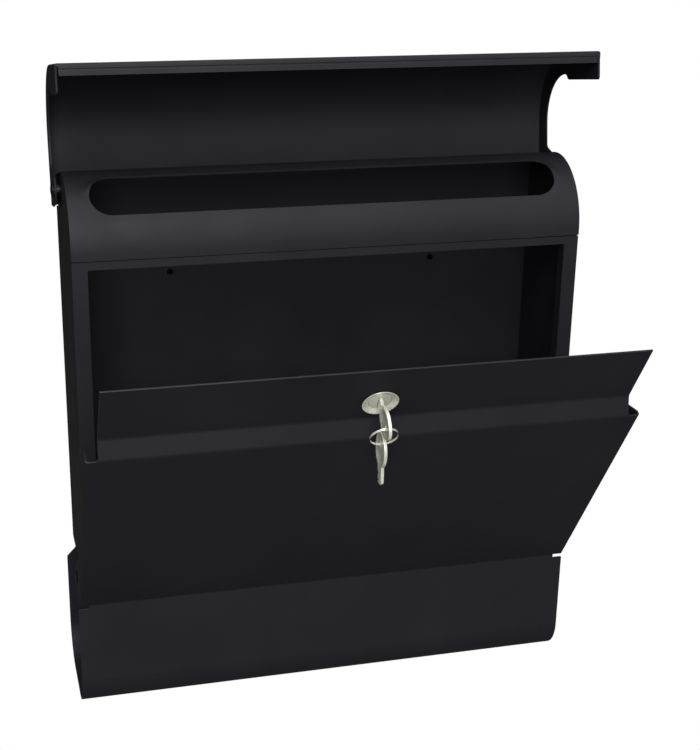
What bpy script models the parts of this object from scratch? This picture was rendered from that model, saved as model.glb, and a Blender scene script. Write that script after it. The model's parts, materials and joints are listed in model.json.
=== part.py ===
"""Wall mounted mailbox of folded, painted sheet steel, with its lid and door open.

The body is a box of folded sheet: two sides, a front frame, a rounded hood with
the letter slot, a floor and a rear panel that stands off the wall on its own
flanges. A curved lid swings over the hood on two side pins. The door swings on
two pins near the floor and carries a cam lock with its key, a split ring and a
spare key. An open-ended trough for newspapers hangs under the body.

Metres, +Z up. The wall is the plane Y = 0, the front faces -Y, and the origin is
the middle of the hanging rail where it bears on the wall.
"""

import math

import bmesh
import bpy
from mathutils import Matrix, Vector

# Sheet and clearances
SHEET = 0.0012
GAP = 0.0003
SINK = 0.00005
PIN_CLEARANCE = 0.0003

# Body
BODY_HALF_WIDTH = 0.180
BODY_DEPTH = 0.0970
STANDOFF = 0.0170
FRAME_HEIGHT = 0.2559
FLOOR_BELOW_MOUNT = FRAME_HEIGHT + 0.0031
FRAME_TOP_RAIL = 0.0056
FRAME_STILE = 0.0104
FRAME_BOTTOM_RAIL = 0.0200
FRAME_RETURN = 0.0100
SIDE_INSET = 0.0004
REAR_LIP = 0.0120
BOTTOM_FLANGE = 0.0100

# Hood with the letter slot
HOOD_RADIUS = 0.0455
HOOD_STRAIGHT = 0.0039
HOOD_FALL_DEG = 15.0
HOOD_FLANGE = 0.0090
SLOT_LENGTH = 2.0 * BODY_HALF_WIDTH - 0.0300
SLOT_HEIGHT = 0.0295
SLOT_ANGLE_DEG = 38.2
SLOT_LIP_RADIUS = 0.0026

# Mounting holes in the rear panel
HOLE_SPACING = 0.2014
HOLE_RADIUS = 0.0024
HOLE_HEIGHT = FRAME_HEIGHT - 0.0395

# Hanging rail
RAIL_LENGTH = 2.0 * BODY_HALF_WIDTH - 0.0400
RAIL_LIP = 0.0140
RAIL_BELOW_HOLES = 0.0100
RAIL_TOP_Z = RAIL_LIP / 2.0

# Lid
LID_HALF_WIDTH = BODY_HALF_WIDTH + 0.0072
LID_SHIFT = 0.0032
LID_RADIUS = 0.0520
LID_FRONT_STANDOFF = 0.0130
LID_TOP_ABOVE_AXIS = 0.0335
LID_LENGTH_BELOW_AXIS = 0.0788
LID_REAR_BEHIND_AXIS = 0.0128
LID_FLANGE = 0.0155
LID_TAB = 0.0040
LID_TAB_EASE = 0.0070
LID_LIP = 0.0080
LID_LIP_HEM = 0.0040
LID_AXIS_FROM_WALL = STANDOFF + 0.0248
LID_AXIS_HEIGHT = FRAME_HEIGHT + 0.0321
LID_EAR_RADIUS = 0.0105
LID_OPEN_DEG = 100.0

# Door
DOOR_HALF_WIDTH = BODY_HALF_WIDTH + 0.0060
DOOR_FRONT_STANDOFF = 0.0125
DOOR_AXIS_BEHIND_FRONT = 0.0165
DOOR_AXIS_HEIGHT = 0.0216
DOOR_BELOW_AXIS = 0.0146
DOOR_PANEL_HEIGHT = FRAME_HEIGHT - 0.0629
DOOR_JOGGLE_RISE = 0.0107
DOOR_JOGGLE_DEPTH = 0.0095
DOOR_STRIP_HEIGHT = 0.0510
DOOR_STRIP_HALF_WIDTH = BODY_HALF_WIDTH - 0.0022
DOOR_FLANGE = 0.0150
DOOR_FLANGE_SLANT = 0.0090
DOOR_EAR_RADIUS = 0.0095
DOOR_OPEN_DEG = 34.0

# Pivot pins
LID_PIN_RADIUS = 0.0030
DOOR_PIN_RADIUS = 0.0025
PIN_SHOULDER_EXTRA = 0.0015
PIN_HEAD_RADIUS = 0.0052
LID_PIN_HEAD_THICKNESS = 0.0022
DOOR_PIN_HEAD_THICKNESS = 0.0009
PIN_FOOT_THICKNESS = 0.0016
LID_PIN_FOOT_FLARE = 0.0016
DOOR_PIN_FOOT_FLARE = 0.0

# Newspaper trough
TROUGH_HALF_WIDTH = BODY_HALF_WIDTH + 0.0062
TROUGH_FRONT_RADIUS = 0.0280
TROUGH_REAR_RADIUS = 0.0280
TROUGH_DEPTH = 0.0905
TROUGH_SHOULDER_WIDTH = 0.0072
TROUGH_SHOULDER_DROP = 0.0030
TROUGH_REAR_CHAMFER = 0.0080
TROUGH_HEM = 0.0050
TROUGH_FROM_REAR_PANEL = 0.0015

# Lock
LOCK_ABOVE_JOGGLE = 0.0180
LOCK_FLANGE_HEIGHT = 0.0019
LOCK_CASE_RADIUS = 0.0095
LOCK_FLANGE_RADIUS = LOCK_CASE_RADIUS + 0.0026
LOCK_CASE_LENGTH = 0.0130
LOCK_PLUG_RADIUS = 0.0058
LOCK_PLUG_PROUD = 0.0004
LOCK_NUT_RADIUS = LOCK_CASE_RADIUS + 0.0035
LOCK_NUT_THICKNESS = 0.0030
CAM_LENGTH = 0.0330
CAM_WIDTH = 0.0100
CAM_THICKNESS = 0.0016
CAM_HUB_RADIUS = 0.0080
CAM_CRANK_RADIUS = 0.0155
CAM_SCREW_RADIUS = 0.0032
CAM_SCREW_BORE = 0.0020

# Keys
KEY_THICKNESS = 0.0022
KEY_BOW_LENGTH = 0.0240
KEY_BOW_HEIGHT = 0.0180
KEY_BLADE_HEIGHT = 0.0070
KEY_BLADE_LENGTH = 0.0130
KEY_BLADE_SHOWN = 0.0042
KEY_HOLE_RADIUS = 0.0018
KEY_HOLE_FROM_TIP = 0.0080
KEY_CUTS = (0.0018, 0.0008, 0.0014)
RING_RADIUS = 0.0092
RING_WIRE_RADIUS = 0.0008
RING_HANG_DEG = 3.0
SPARE_KEY_TURN_DEG = 182.5

# Derived levels: heights above the lowest plane of the body
FRONT_Y = -(STANDOFF + BODY_DEPTH)
REAR_Y = -STANDOFF
FLOOR_Z = -FLOOR_BELOW_MOUNT
HOOD_CENTRE_Y = FRONT_Y - 0.0005 + HOOD_RADIUS
HOOD_BASE_Z = FLOOR_Z + FRAME_HEIGHT + 0.0007
HOOD_CENTRE_Z = HOOD_BASE_Z + HOOD_STRAIGHT
LID_AXIS_Y = -LID_AXIS_FROM_WALL
LID_AXIS_Z = FLOOR_Z + LID_AXIS_HEIGHT
DOOR_FRONT_Y = FRONT_Y - DOOR_FRONT_STANDOFF
DOOR_AXIS_Y = DOOR_FRONT_Y + DOOR_AXIS_BEHIND_FRONT
DOOR_AXIS_Z = FLOOR_Z + DOOR_AXIS_HEIGHT
SIDE_X = BODY_HALF_WIDTH - SIDE_INSET
HOLE_Z = FLOOR_Z + HOLE_HEIGHT

PARTS = "wall_mailbox"
CUTTERS = "shaping_helpers"


# --- scene helpers -------------------------------------------------------------


def clear_scene():
    """Empty the file and make the two collections."""
    for obj in list(bpy.data.objects):
        bpy.data.objects.remove(obj)
    for name in (PARTS, CUTTERS):
        collection = bpy.data.collections.new(name)
        bpy.context.scene.collection.children.link(collection)


def finish(name, colour, roughness, metallic):
    """A Principled material with its base values."""
    material = bpy.data.materials.new(name)
    material.use_nodes = True
    shader = material.node_tree.nodes["Principled BSDF"]
    shader.inputs["Base Color"].default_value = (*colour, 1.0)
    shader.inputs["Roughness"].default_value = roughness
    shader.inputs["Metallic"].default_value = metallic
    return material


def painted(name):
    """Anthracite powder coat on a sheet piece."""
    return finish("paint_" + name, (0.032, 0.031, 0.036), 0.48, 0.0)


def plated(name):
    """Nickel plating on lock pieces and keys."""
    return finish("nickel_" + name, (0.62, 0.60, 0.56), 0.26, 1.0)


def zinc(name):
    """Zinc plating on pins and hidden hardware."""
    return finish("zinc_" + name, (0.50, 0.51, 0.53), 0.38, 1.0)


def solid(name, mesh, material=None):
    """A named part in the parts collection, or a hidden helper without a material."""
    obj = bpy.data.objects.new(name, mesh)
    if material is None:
        bpy.data.collections[CUTTERS].objects.link(obj)
        obj.hide_render = True
        obj.display_type = "WIRE"
    else:
        bpy.data.collections[PARTS].objects.link(obj)
        obj.data.materials.append(material)
    return obj


def combine(obj, tool, operation):
    """Add one Boolean to the part; the helper rides with it."""
    tool.parent = obj
    modifier = obj.modifiers.new(operation.lower() + "_" + tool.name, "BOOLEAN")
    modifier.operation = operation
    modifier.solver = "EXACT"
    modifier.object = tool
    return obj


def round_edges(obj, width, segments=2, angle_deg=40.0):
    """Break the sharp edges."""
    bevel = obj.modifiers.new("edge_break", "BEVEL")
    bevel.width = width
    bevel.segments = segments
    bevel.limit_method = "ANGLE"
    bevel.angle_limit = math.radians(angle_deg)
    bevel.use_clamp_overlap = True
    return obj


def shade(obj, angle_deg=32.0):
    """Smooth shading with sharp creases."""
    obj.data.shade_smooth()
    obj.data.set_sharp_from_angle(angle=math.radians(angle_deg))
    return obj


# --- outlines ------------------------------------------------------------------


def arc(centre, radius, start_deg, end_deg, steps):
    """Points of an arc; angles are measured from +first axis to +second axis."""
    points = []
    for index in range(steps + 1):
        angle = math.radians(start_deg + (end_deg - start_deg) * index / steps)
        points.append(
            (
                centre[0] + radius * math.cos(angle),
                centre[1] + radius * math.sin(angle),
            )
        )
    return points


def offset_path(path, distance):
    """The path moved to its right-hand side, mitred at each bend."""
    moved = []
    for index, point in enumerate(path):
        before = path[max(index - 1, 0)]
        after = path[min(index + 1, len(path) - 1)]
        first = Vector(point) - Vector(before)
        second = Vector(after) - Vector(point)
        if first.length < 1e-9:
            first = second
        if second.length < 1e-9:
            second = first
        normal_a = Vector((first.y, -first.x)).normalized()
        normal_b = Vector((second.y, -second.x)).normalized()
        mitre = (normal_a + normal_b).normalized()
        reach = distance / max(mitre.dot(normal_a), 0.3)
        moved.append((point[0] + mitre.x * reach, point[1] + mitre.y * reach))
    return moved


def folded(path, thickness=SHEET):
    """Closed outline of sheet whose outer face follows the path."""
    return path + offset_path(path, thickness)[::-1]


def extruded(outline, low, high, plane="YZ", holes=()):
    """A prism from a closed outline, filled on both ends.

    In plane YZ the outline is (y, z) and it runs along X from low to high. In XZ
    it is (x, z) and runs along Y. In XY it is (x, y) and runs along Z.
    """
    if holes:
        return pierced(outline, (high - low) / 2.0, holes, turn_into(plane, (low + high) / 2.0))
    shape = bmesh.new()
    cap = shape.faces.new([shape.verts.new((a, b, (low - high) / 2.0)) for a, b in outline])
    grown = bmesh.ops.extrude_face_region(shape, geom=[cap])["geom"]
    moved = [item for item in grown if isinstance(item, bmesh.types.BMVert)]
    bmesh.ops.translate(shape, verts=moved, vec=(0.0, 0.0, high - low))
    bmesh.ops.transform(shape, matrix=turn_into(plane, (low + high) / 2.0), verts=shape.verts)
    bmesh.ops.recalc_face_normals(shape, faces=shape.faces)
    mesh = bpy.data.meshes.new("prism")
    shape.to_mesh(mesh)
    shape.free()
    return mesh


def pierced(outline, half, holes, matrix):
    """A flat plate with holes, filled on both sides."""
    curve = bpy.data.curves.new("outline", "CURVE")
    curve.dimensions = "2D"
    curve.fill_mode = "BOTH"
    curve.extrude = half
    for ring in (outline, *holes):
        spline = curve.splines.new("POLY")
        spline.points.add(len(ring) - 1)
        for point, place in zip(spline.points, ring):
            point.co = (place[0], place[1], 0.0, 1.0)
        spline.use_cyclic_u = True
    return mesh_of_curve(curve, matrix)


def turn_into(plane, middle):
    """The matrix that lays a flat outline into the named plane."""
    if plane == "YZ":
        return Matrix(((0, 0, 1, middle), (1, 0, 0, 0), (0, 1, 0, 0), (0, 0, 0, 1)))
    if plane == "XZ":
        return Matrix(((1, 0, 0, 0), (0, 0, -1, middle), (0, 1, 0, 0), (0, 0, 0, 1)))
    return Matrix.Translation((0.0, 0.0, middle))


def mesh_of_curve(curve, matrix):
    """The curve's surface as a closed mesh with its faces outward."""
    carrier = bpy.data.objects.new("carrier", curve)
    bpy.data.collections[CUTTERS].objects.link(carrier)
    bpy.context.view_layer.update()
    graph = bpy.context.evaluated_depsgraph_get()
    mesh = bpy.data.meshes.new_from_object(carrier.evaluated_get(graph))
    bpy.data.objects.remove(carrier)
    shape = bmesh.new()
    shape.from_mesh(mesh)
    bmesh.ops.remove_doubles(shape, verts=shape.verts, dist=1e-6)
    bmesh.ops.transform(shape, matrix=matrix, verts=shape.verts)
    bmesh.ops.recalc_face_normals(shape, faces=shape.faces)
    shape.to_mesh(mesh)
    shape.free()
    return mesh


def rod_along(radius, low, high, direction="X", centre=(0.0, 0.0, 0.0), sides=32):
    """A closed cylinder along one axis between two coordinates on it."""
    shape = bmesh.new()
    turn = {
        "X": Matrix.Rotation(math.pi / 2.0, 4, "Y"),
        "Y": Matrix.Rotation(-math.pi / 2.0, 4, "X"),
        "Z": Matrix.Identity(4),
    }[direction]
    bmesh.ops.create_cone(
        shape,
        cap_ends=True,
        segments=sides,
        radius1=radius,
        radius2=radius,
        depth=high - low,
        matrix=turn,
    )
    middle = Vector(centre)
    middle["XYZ".index(direction)] += (low + high) / 2.0
    bmesh.ops.translate(shape, verts=shape.verts, vec=middle)
    mesh = bpy.data.meshes.new("rod")
    shape.to_mesh(mesh)
    shape.free()
    return mesh


def block(low, high):
    """A box between two corners."""
    shape = bmesh.new()
    size = Vector(high) - Vector(low)
    middle = (Vector(high) + Vector(low)) / 2.0
    matrix = Matrix.Translation(middle) @ Matrix.Diagonal((*size, 1.0))
    bmesh.ops.create_cube(shape, size=1.0, matrix=matrix)
    mesh = bpy.data.meshes.new("block")
    shape.to_mesh(mesh)
    shape.free()
    return mesh


def turned(profile, steps=40):
    """A solid of revolution about X from (x, radius) points, closed at both ends.

    The profile starts and ends on the axis.
    """
    shape = bmesh.new()
    verts = [shape.verts.new((x, radius, 0.0)) for x, radius in profile]
    edges = [shape.edges.new(pair) for pair in zip(verts, verts[1:])]
    bmesh.ops.spin(
        shape,
        geom=verts + edges,
        cent=(0.0, 0.0, 0.0),
        axis=(1.0, 0.0, 0.0),
        angle=2.0 * math.pi,
        steps=steps,
        use_merge=True,
    )
    bmesh.ops.remove_doubles(shape, verts=shape.verts, dist=1e-6)
    bmesh.ops.recalc_face_normals(shape, faces=shape.faces)
    mesh = bpy.data.meshes.new("turned")
    shape.to_mesh(mesh)
    shape.free()
    return mesh


def tube_mesh(points, radius, cyclic=False, radii=None, resolution=2):
    """A round wire through the points with filled ends."""
    curve = bpy.data.curves.new("wire", "CURVE")
    curve.dimensions = "3D"
    curve.bevel_depth = radius
    curve.bevel_resolution = resolution
    curve.use_fill_caps = True
    spline = curve.splines.new("POLY")
    spline.points.add(len(points) - 1)
    for index, place in enumerate(points):
        spline.points[index].co = (*place, 1.0)
        spline.points[index].radius = radii[index] if radii else 1.0
    spline.use_cyclic_u = cyclic
    return mesh_of_curve(curve, Matrix.Identity(4))


# --- body ----------------------------------------------------------------------


def hood_path(radius, rear_y, lower_z):
    """The hood in section, from its lower front edge to its rear edge."""
    fall = math.radians(HOOD_FALL_DEG)
    bow = arc((HOOD_CENTRE_Y, HOOD_CENTRE_Z), radius, 180.0, 90.0 - HOOD_FALL_DEG, 22)
    last_y, last_z = bow[-1]
    rear_z = last_z - (rear_y - last_y) * math.tan(fall)
    return [(HOOD_CENTRE_Y - radius, lower_z)] + bow + [(rear_y, rear_z)]


def build_side(name, sign):
    """One body side: flat sheet under the hood, from the frame to the rear panel."""
    top = hood_path(HOOD_RADIUS - SHEET - 2.0 * GAP, REAR_Y - GAP, HOOD_BASE_Z)
    front_y = FRONT_Y + SHEET + GAP
    outline = [(max(y, front_y), z) for y, z in top]
    outline += [(REAR_Y - GAP, FLOOR_Z), (front_y, FLOOR_Z)]
    low, high = sorted((sign * (SIDE_X - SHEET), sign * SIDE_X))
    obj = solid(name, extruded(outline, low, high), painted(name))
    for axis_y, axis_z, radius in (
        (LID_AXIS_Y, LID_AXIS_Z, LID_PIN_RADIUS),
        (DOOR_AXIS_Y, DOOR_AXIS_Z, DOOR_PIN_RADIUS),
    ):
        bore = rod_along(
            radius + PIN_CLEARANCE,
            sign * SIDE_X - 0.01,
            sign * SIDE_X + 0.01,
            centre=(0.0, axis_y, axis_z),
        )
        combine(obj, solid(name + "_bore", bore), "DIFFERENCE")
    return shade(obj)


def build_front_frame():
    """The picture frame around the door opening, with its edges turned inward."""
    top = FLOOR_Z + FRAME_HEIGHT
    outer = rounded_box(-BODY_HALF_WIDTH, BODY_HALF_WIDTH, FLOOR_Z, top, 0.0006)
    inner_x = BODY_HALF_WIDTH - FRAME_STILE
    low_z = FLOOR_Z + FRAME_BOTTOM_RAIL
    inner = rounded_box(-inner_x, inner_x, low_z, top - FRAME_TOP_RAIL, 0.0012)
    frame = extruded(outer, FRONT_Y, FRONT_Y + SHEET, "XZ", holes=(inner,))
    obj = solid("front_frame", frame, painted("front_frame"))
    for side in (-1.0, 1.0):
        edge = sorted((side * inner_x, side * (inner_x + SHEET)))
        wing = block(
            (edge[0], FRONT_Y + SHEET / 2.0, low_z + 0.001),
            (edge[1], FRONT_Y + FRAME_RETURN, top - FRAME_TOP_RAIL - 0.001),
        )
        combine(obj, solid("frame_return", wing), "UNION")
    return shade(obj)


def rounded_box(x0, x1, z0, z1, radius, steps=4):
    """A rectangle with rounded corners, counter-clockwise."""
    corners = (
        ((x1 - radius, z0 + radius), -90.0),
        ((x1 - radius, z1 - radius), 0.0),
        ((x0 + radius, z1 - radius), 90.0),
        ((x0 + radius, z0 + radius), 180.0),
    )
    points = []
    for centre, start in corners:
        points += arc(centre, radius, start, start + 90.0, steps)
    return points


def slot_point(x, climb, radius):
    """A point on the hood, climb being the arc length above the slot's middle."""
    angle = math.radians(SLOT_ANGLE_DEG) - climb / HOOD_RADIUS
    return (
        x,
        HOOD_CENTRE_Y - radius * math.sin(angle),
        HOOD_CENTRE_Z + radius * math.cos(angle),
    )


def build_slot_lip():
    """The rolled upper edge of the slot, fading out at the two ends."""
    end = SLOT_HEIGHT / 2.0
    reach = SLOT_LENGTH / 2.0 - end
    path = [(-reach + x, z) for x, z in arc((0.0, 0.0), end, 186.0, 90.0, 14)]
    path += [(x, end) for x in (-0.1, -0.05, 0.0, 0.05, 0.1)]
    path += [(reach + x, z) for x, z in arc((0.0, 0.0), end, 90.0, -6.0, 14)]
    grow = 1.0 + 0.35 * SLOT_LIP_RADIUS / end
    points = [
        slot_point(
            math.copysign(reach, x) + (x - math.copysign(reach, x)) * grow
            if abs(x) > reach
            else x,
            z * grow,
            HOOD_RADIUS - 0.0004,
        )
        for x, z in path
    ]
    count = len(points) - 1
    radii = [min(1.0, 0.30 + 3.4 * min(i, count - i) / count) for i in range(count + 1)]
    return tube_mesh(points, SLOT_LIP_RADIUS, radii=radii, resolution=4)


def build_hood():
    """The rounded hood with the letter slot and the rolled lip above it."""
    rear_y = REAR_Y - GAP
    path = hood_path(HOOD_RADIUS, rear_y, HOOD_BASE_Z)
    path.append((rear_y, path[-1][1] - HOOD_FLANGE))
    mesh = extruded(folded(path), -BODY_HALF_WIDTH, BODY_HALF_WIDTH)
    obj = solid("slot_hood", mesh, painted("slot_hood"))
    combine(obj, solid("slot_lip", build_slot_lip()), "UNION")
    rear_z = path[-2][1] - 1.05 * SHEET
    for side in (-1.0, 1.0):
        inner = side * (SIDE_X - SHEET - GAP)
        low, high = sorted((inner, inner + side * 0.01))
        notch = block(
            (low, rear_y - 0.004, rear_z - HOOD_FLANGE),
            (high, rear_y + 0.004, rear_z),
        )
        combine(obj, solid("hood_flange_notch", notch), "DIFFERENCE")
    end = SLOT_HEIGHT / 2.0
    reach = SLOT_LENGTH / 2.0 - end
    outline = arc((reach, 0.0), end, -90.0, 90.0, 16)
    outline += arc((-reach, 0.0), end, 90.0, 270.0, 16)
    cutter = solid("slot_cutter", extruded(outline, -0.012, 0.012, "XY"))
    combine(obj, cutter, "DIFFERENCE")
    cutter.location = slot_point(0.0, 0.0, HOOD_RADIUS)
    cutter.rotation_euler = (math.radians(SLOT_ANGLE_DEG), 0.0, 0.0)
    return shade(obj)


def build_floor():
    """The floor sheet, with its rear edge turned up inside the rear panel."""
    path = [
        (REAR_Y - GAP, FLOOR_Z + BOTTOM_FLANGE),
        (REAR_Y - GAP, FLOOR_Z),
        (FRONT_Y + SHEET + GAP, FLOOR_Z),
        (FRONT_Y + SHEET + GAP, FLOOR_Z + BOTTOM_FLANGE),
    ]
    half = SIDE_X - SHEET - GAP
    mesh = extruded(folded(path), -half, half)
    return shade(solid("floor_panel", mesh, painted("floor_panel")))


def build_rear_panel():
    """The rear panel: a tray whose sides and bottom reach back to the wall."""
    half = SIDE_X
    hood = hood_path(HOOD_RADIUS, REAR_Y, HOOD_BASE_Z)
    top = hood[-1][1] - 0.002
    section = [
        (half - REAR_LIP, 0.0),
        (half, 0.0),
        (half, REAR_Y),
        (-half, REAR_Y),
        (-half, 0.0),
        (-half + REAR_LIP, 0.0),
    ]
    tray = extruded(folded(section), FLOOR_Z, top, "XY")
    obj = solid("rear_panel", tray, painted("rear_panel"))
    clear = block(
        (-half - 0.01, REAR_Y + SHEET + SINK, RAIL_TOP_Z),
        (half + 0.01, 0.01, top + 0.01),
    )
    combine(obj, solid("rear_panel_clearance", clear), "DIFFERENCE")
    bottom = folded(
        [
            (-SINK, FLOOR_Z + REAR_LIP),
            (-SINK, FLOOR_Z + SINK),
            (REAR_Y + SHEET / 2.0, FLOOR_Z + SINK),
        ]
    )
    base = extruded(bottom, -half + SHEET / 2.0, half - SHEET / 2.0)
    combine(obj, solid("rear_panel_base", base), "UNION")
    return shade(pierce_for_screws(obj, REAR_Y))


def pierce_for_screws(obj, plane_y):
    """Cut the two screw holes through the sheet that lies at the given depth."""
    for side in (-1.0, 1.0):
        centre = (side * HOLE_SPACING / 2.0, 0.0, HOLE_Z)
        hole = rod_along(HOLE_RADIUS, plane_y - 0.005, plane_y + 0.005, "Y", centre)
        combine(obj, solid("screw_hole", hole), "DIFFERENCE")
    return obj


def build_hanging_rail():
    """The Z-shaped rail behind the rear panel, its deep leg screwed to the wall."""
    inner_y = REAR_Y + SHEET + GAP
    path = [
        (inner_y, -RAIL_LIP / 2.0 - 0.001),
        (inner_y, RAIL_TOP_Z),
        (0.0, RAIL_TOP_Z),
        (0.0, HOLE_Z - RAIL_BELOW_HOLES),
    ]
    mesh = extruded(folded(path), -RAIL_LENGTH / 2.0, RAIL_LENGTH / 2.0)
    obj = solid("hanging_rail", mesh, painted("hanging_rail"))
    return shade(pierce_for_screws(obj, 0.0))


# --- newspaper trough ------------------------------------------------------------


def build_trough():
    """The open-ended trough under the floor, hemmed along the front."""
    top = FLOOR_Z - GAP
    bottom = top - TROUGH_DEPTH
    front = FRONT_Y
    rear = REAR_Y - TROUGH_FROM_REAR_PANEL
    fr = TROUGH_FRONT_RADIUS
    rr = TROUGH_REAR_RADIUS
    path = [(rear - TROUGH_HEM, top), (rear, top)]
    path += arc((rear - rr, bottom + rr), rr, 0.0, -90.0, 10)
    path += arc((front + fr, bottom + fr), fr, -90.0, -180.0, 12)
    path += [(front, top), (front + TROUGH_HEM, top)]
    mesh = extruded(folded(path), -TROUGH_HALF_WIDTH, TROUGH_HALF_WIDTH)
    obj = solid("newspaper_trough", mesh, painted("newspaper_trough"))
    for side in (-1.0, 1.0):
        inner = side * (TROUGH_HALF_WIDTH - TROUGH_SHOULDER_WIDTH)
        outer = side * (TROUGH_HALF_WIDTH + 0.005)
        low, high = sorted((inner, outer))
        notch = block(
            (low, front - 0.005, top - TROUGH_SHOULDER_DROP),
            (high, (front + rear) / 2.0, top + 0.005),
        )
        combine(obj, solid("trough_shoulder", notch), "DIFFERENCE")
        corner = [
            (side * (TROUGH_HALF_WIDTH - TROUGH_SHOULDER_WIDTH), top + 0.004),
            (side * (TROUGH_HALF_WIDTH - TROUGH_SHOULDER_WIDTH), top - 0.0002),
            (side * TROUGH_HALF_WIDTH, top - TROUGH_REAR_CHAMFER),
            (side * (TROUGH_HALF_WIDTH + 0.006), top - TROUGH_REAR_CHAMFER),
            (side * (TROUGH_HALF_WIDTH + 0.006), top + 0.004),
        ]
        clip = extruded(corner, (front + rear) / 2.0 - 0.001, rear + 0.01, "XZ")
        combine(obj, solid("trough_corner", clip), "DIFFERENCE")
    return shade(obj)


# --- lid ------------------------------------------------------------------------


def lid_profile():
    """The closed lid in section about its axis, lower front edge to rear edge."""
    front = FRONT_Y - LID_FRONT_STANDOFF - LID_AXIS_Y
    top = LID_TOP_ABOVE_AXIS
    centre = (front + LID_RADIUS, top - LID_RADIUS)
    path = [(front, -LID_LENGTH_BELOW_AXIS)]
    path += arc(centre, LID_RADIUS, 180.0, 90.0, 24)
    path.append((LID_REAR_BEHIND_AXIS, top))
    return path


def lid_cheek():
    """Outline of the turned-down side of the lid with the ear around the pin."""
    front = FRONT_Y - LID_FRONT_STANDOFF - LID_AXIS_Y
    top = LID_TOP_ABOVE_AXIS
    centre = (front + LID_RADIUS, top - LID_RADIUS)
    inner_radius = LID_RADIUS - LID_FLANGE
    outline = offset_path(lid_profile(), SHEET / 2.0)
    outline += [(LID_REAR_BEHIND_AXIS - SINK, top - LID_FLANGE - 0.0040)]
    outline += arc((0.0, 0.0), LID_EAR_RADIUS, 20.0, -200.0, 22)
    ear_join = -LID_EAR_RADIUS - 0.006
    outline += [(ear_join, top - LID_FLANGE)]
    outline += arc(centre, inner_radius, 90.0, 180.0, 18)
    deep = front + LID_FLANGE + LID_TAB
    outline += [
        (front + LID_FLANGE + LID_TAB * 0.2, centre[1] - LID_TAB_EASE * 0.4),
        (front + LID_FLANGE + LID_TAB * 0.8, centre[1] - LID_TAB_EASE * 0.7),
        (deep, centre[1] - LID_TAB_EASE),
        (deep, -LID_LENGTH_BELOW_AXIS + 0.0030),
        (deep - 0.0022, -LID_LENGTH_BELOW_AXIS + 0.0008),
        (front + 0.006, -LID_LENGTH_BELOW_AXIS + 0.0008),
        (front + SHEET / 2.0, -LID_LENGTH_BELOW_AXIS + SINK),
    ]
    outline[0] = (front + SHEET / 2.0, -LID_LENGTH_BELOW_AXIS + 0.002)
    outline[len(lid_profile()) - 1] = (LID_REAR_BEHIND_AXIS - SINK, top - SHEET / 2.0)
    return outline


def build_lid():
    """The curved lid with turned-down sides and a hemmed front lip."""
    half = LID_HALF_WIDTH
    skin = extruded(folded(lid_profile()), -half, half)
    obj = solid("lid", skin, painted("lid"))
    front = FRONT_Y - LID_FRONT_STANDOFF - LID_AXIS_Y
    low = -LID_LENGTH_BELOW_AXIS
    groove = [
        (front + LID_LIP_HEM - 0.0004, low - 0.001),
        (front + LID_LIP_HEM + 0.0004, low - 0.001),
        (front + LID_LIP_HEM + 0.0004, low + 0.0005),
        (front + LID_LIP_HEM - 0.0004, low + 0.0005),
    ]
    plain = [
        (front + SHEET / 2.0, low),
        (front + LID_LIP, low),
        (front + LID_LIP, low + SHEET),
        (front + SHEET / 2.0, low + SHEET),
    ]
    inset = 0.0022
    bar = extruded(plain, -half + inset, half - inset)
    combine(obj, solid("lid_lip", bar), "UNION")
    line = solid("lid_lip_groove", extruded(groove, -half - 0.01, half + 0.01))
    combine(obj, line, "DIFFERENCE")
    for side in (-1.0, 1.0):
        edge = sorted((side * (half - SINK), side * (half - SINK - SHEET)))
        cheek = extruded(lid_cheek(), edge[0], edge[1])
        combine(obj, solid("lid_cheek", cheek), "UNION")
        bore = rod_along(LID_PIN_RADIUS + PIN_CLEARANCE, side * half - 0.01, side * half + 0.01)
        combine(obj, solid("lid_bore", bore), "DIFFERENCE")
    obj.location = (LID_SHIFT, LID_AXIS_Y, LID_AXIS_Z)
    obj.rotation_euler = (math.radians(-LID_OPEN_DEG), 0.0, 0.0)
    return shade(obj)


# --- door -----------------------------------------------------------------------


def door_levels():
    """Heights of the door's folds above its axis, and its front and strip planes."""
    low = -DOOR_BELOW_AXIS
    panel_top = low + DOOR_PANEL_HEIGHT
    strip_low = panel_top + DOOR_JOGGLE_RISE
    strip_top = strip_low + DOOR_STRIP_HEIGHT
    front = -DOOR_AXIS_BEHIND_FRONT
    return low, panel_top, strip_low, strip_top, front, front + DOOR_JOGGLE_DEPTH


def door_cheek():
    """Outline of the door's turned-back side with the ear around the pin."""
    low, panel_top, _, _, front, _ = door_levels()
    back = front + DOOR_FLANGE
    skin = front + SHEET / 2.0
    outline = [(skin, low + SINK), (skin, panel_top - 0.0012)]
    outline += [(front + 0.0035, panel_top - SINK), (back, panel_top - DOOR_FLANGE_SLANT)]
    outline += [(back, 0.030)]
    outline += arc((0.0, 0.0), DOOR_EAR_RADIUS, 30.0, -80.0, 16)
    outline += [(0.0, low)] if -low > DOOR_EAR_RADIUS else []
    return outline


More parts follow.
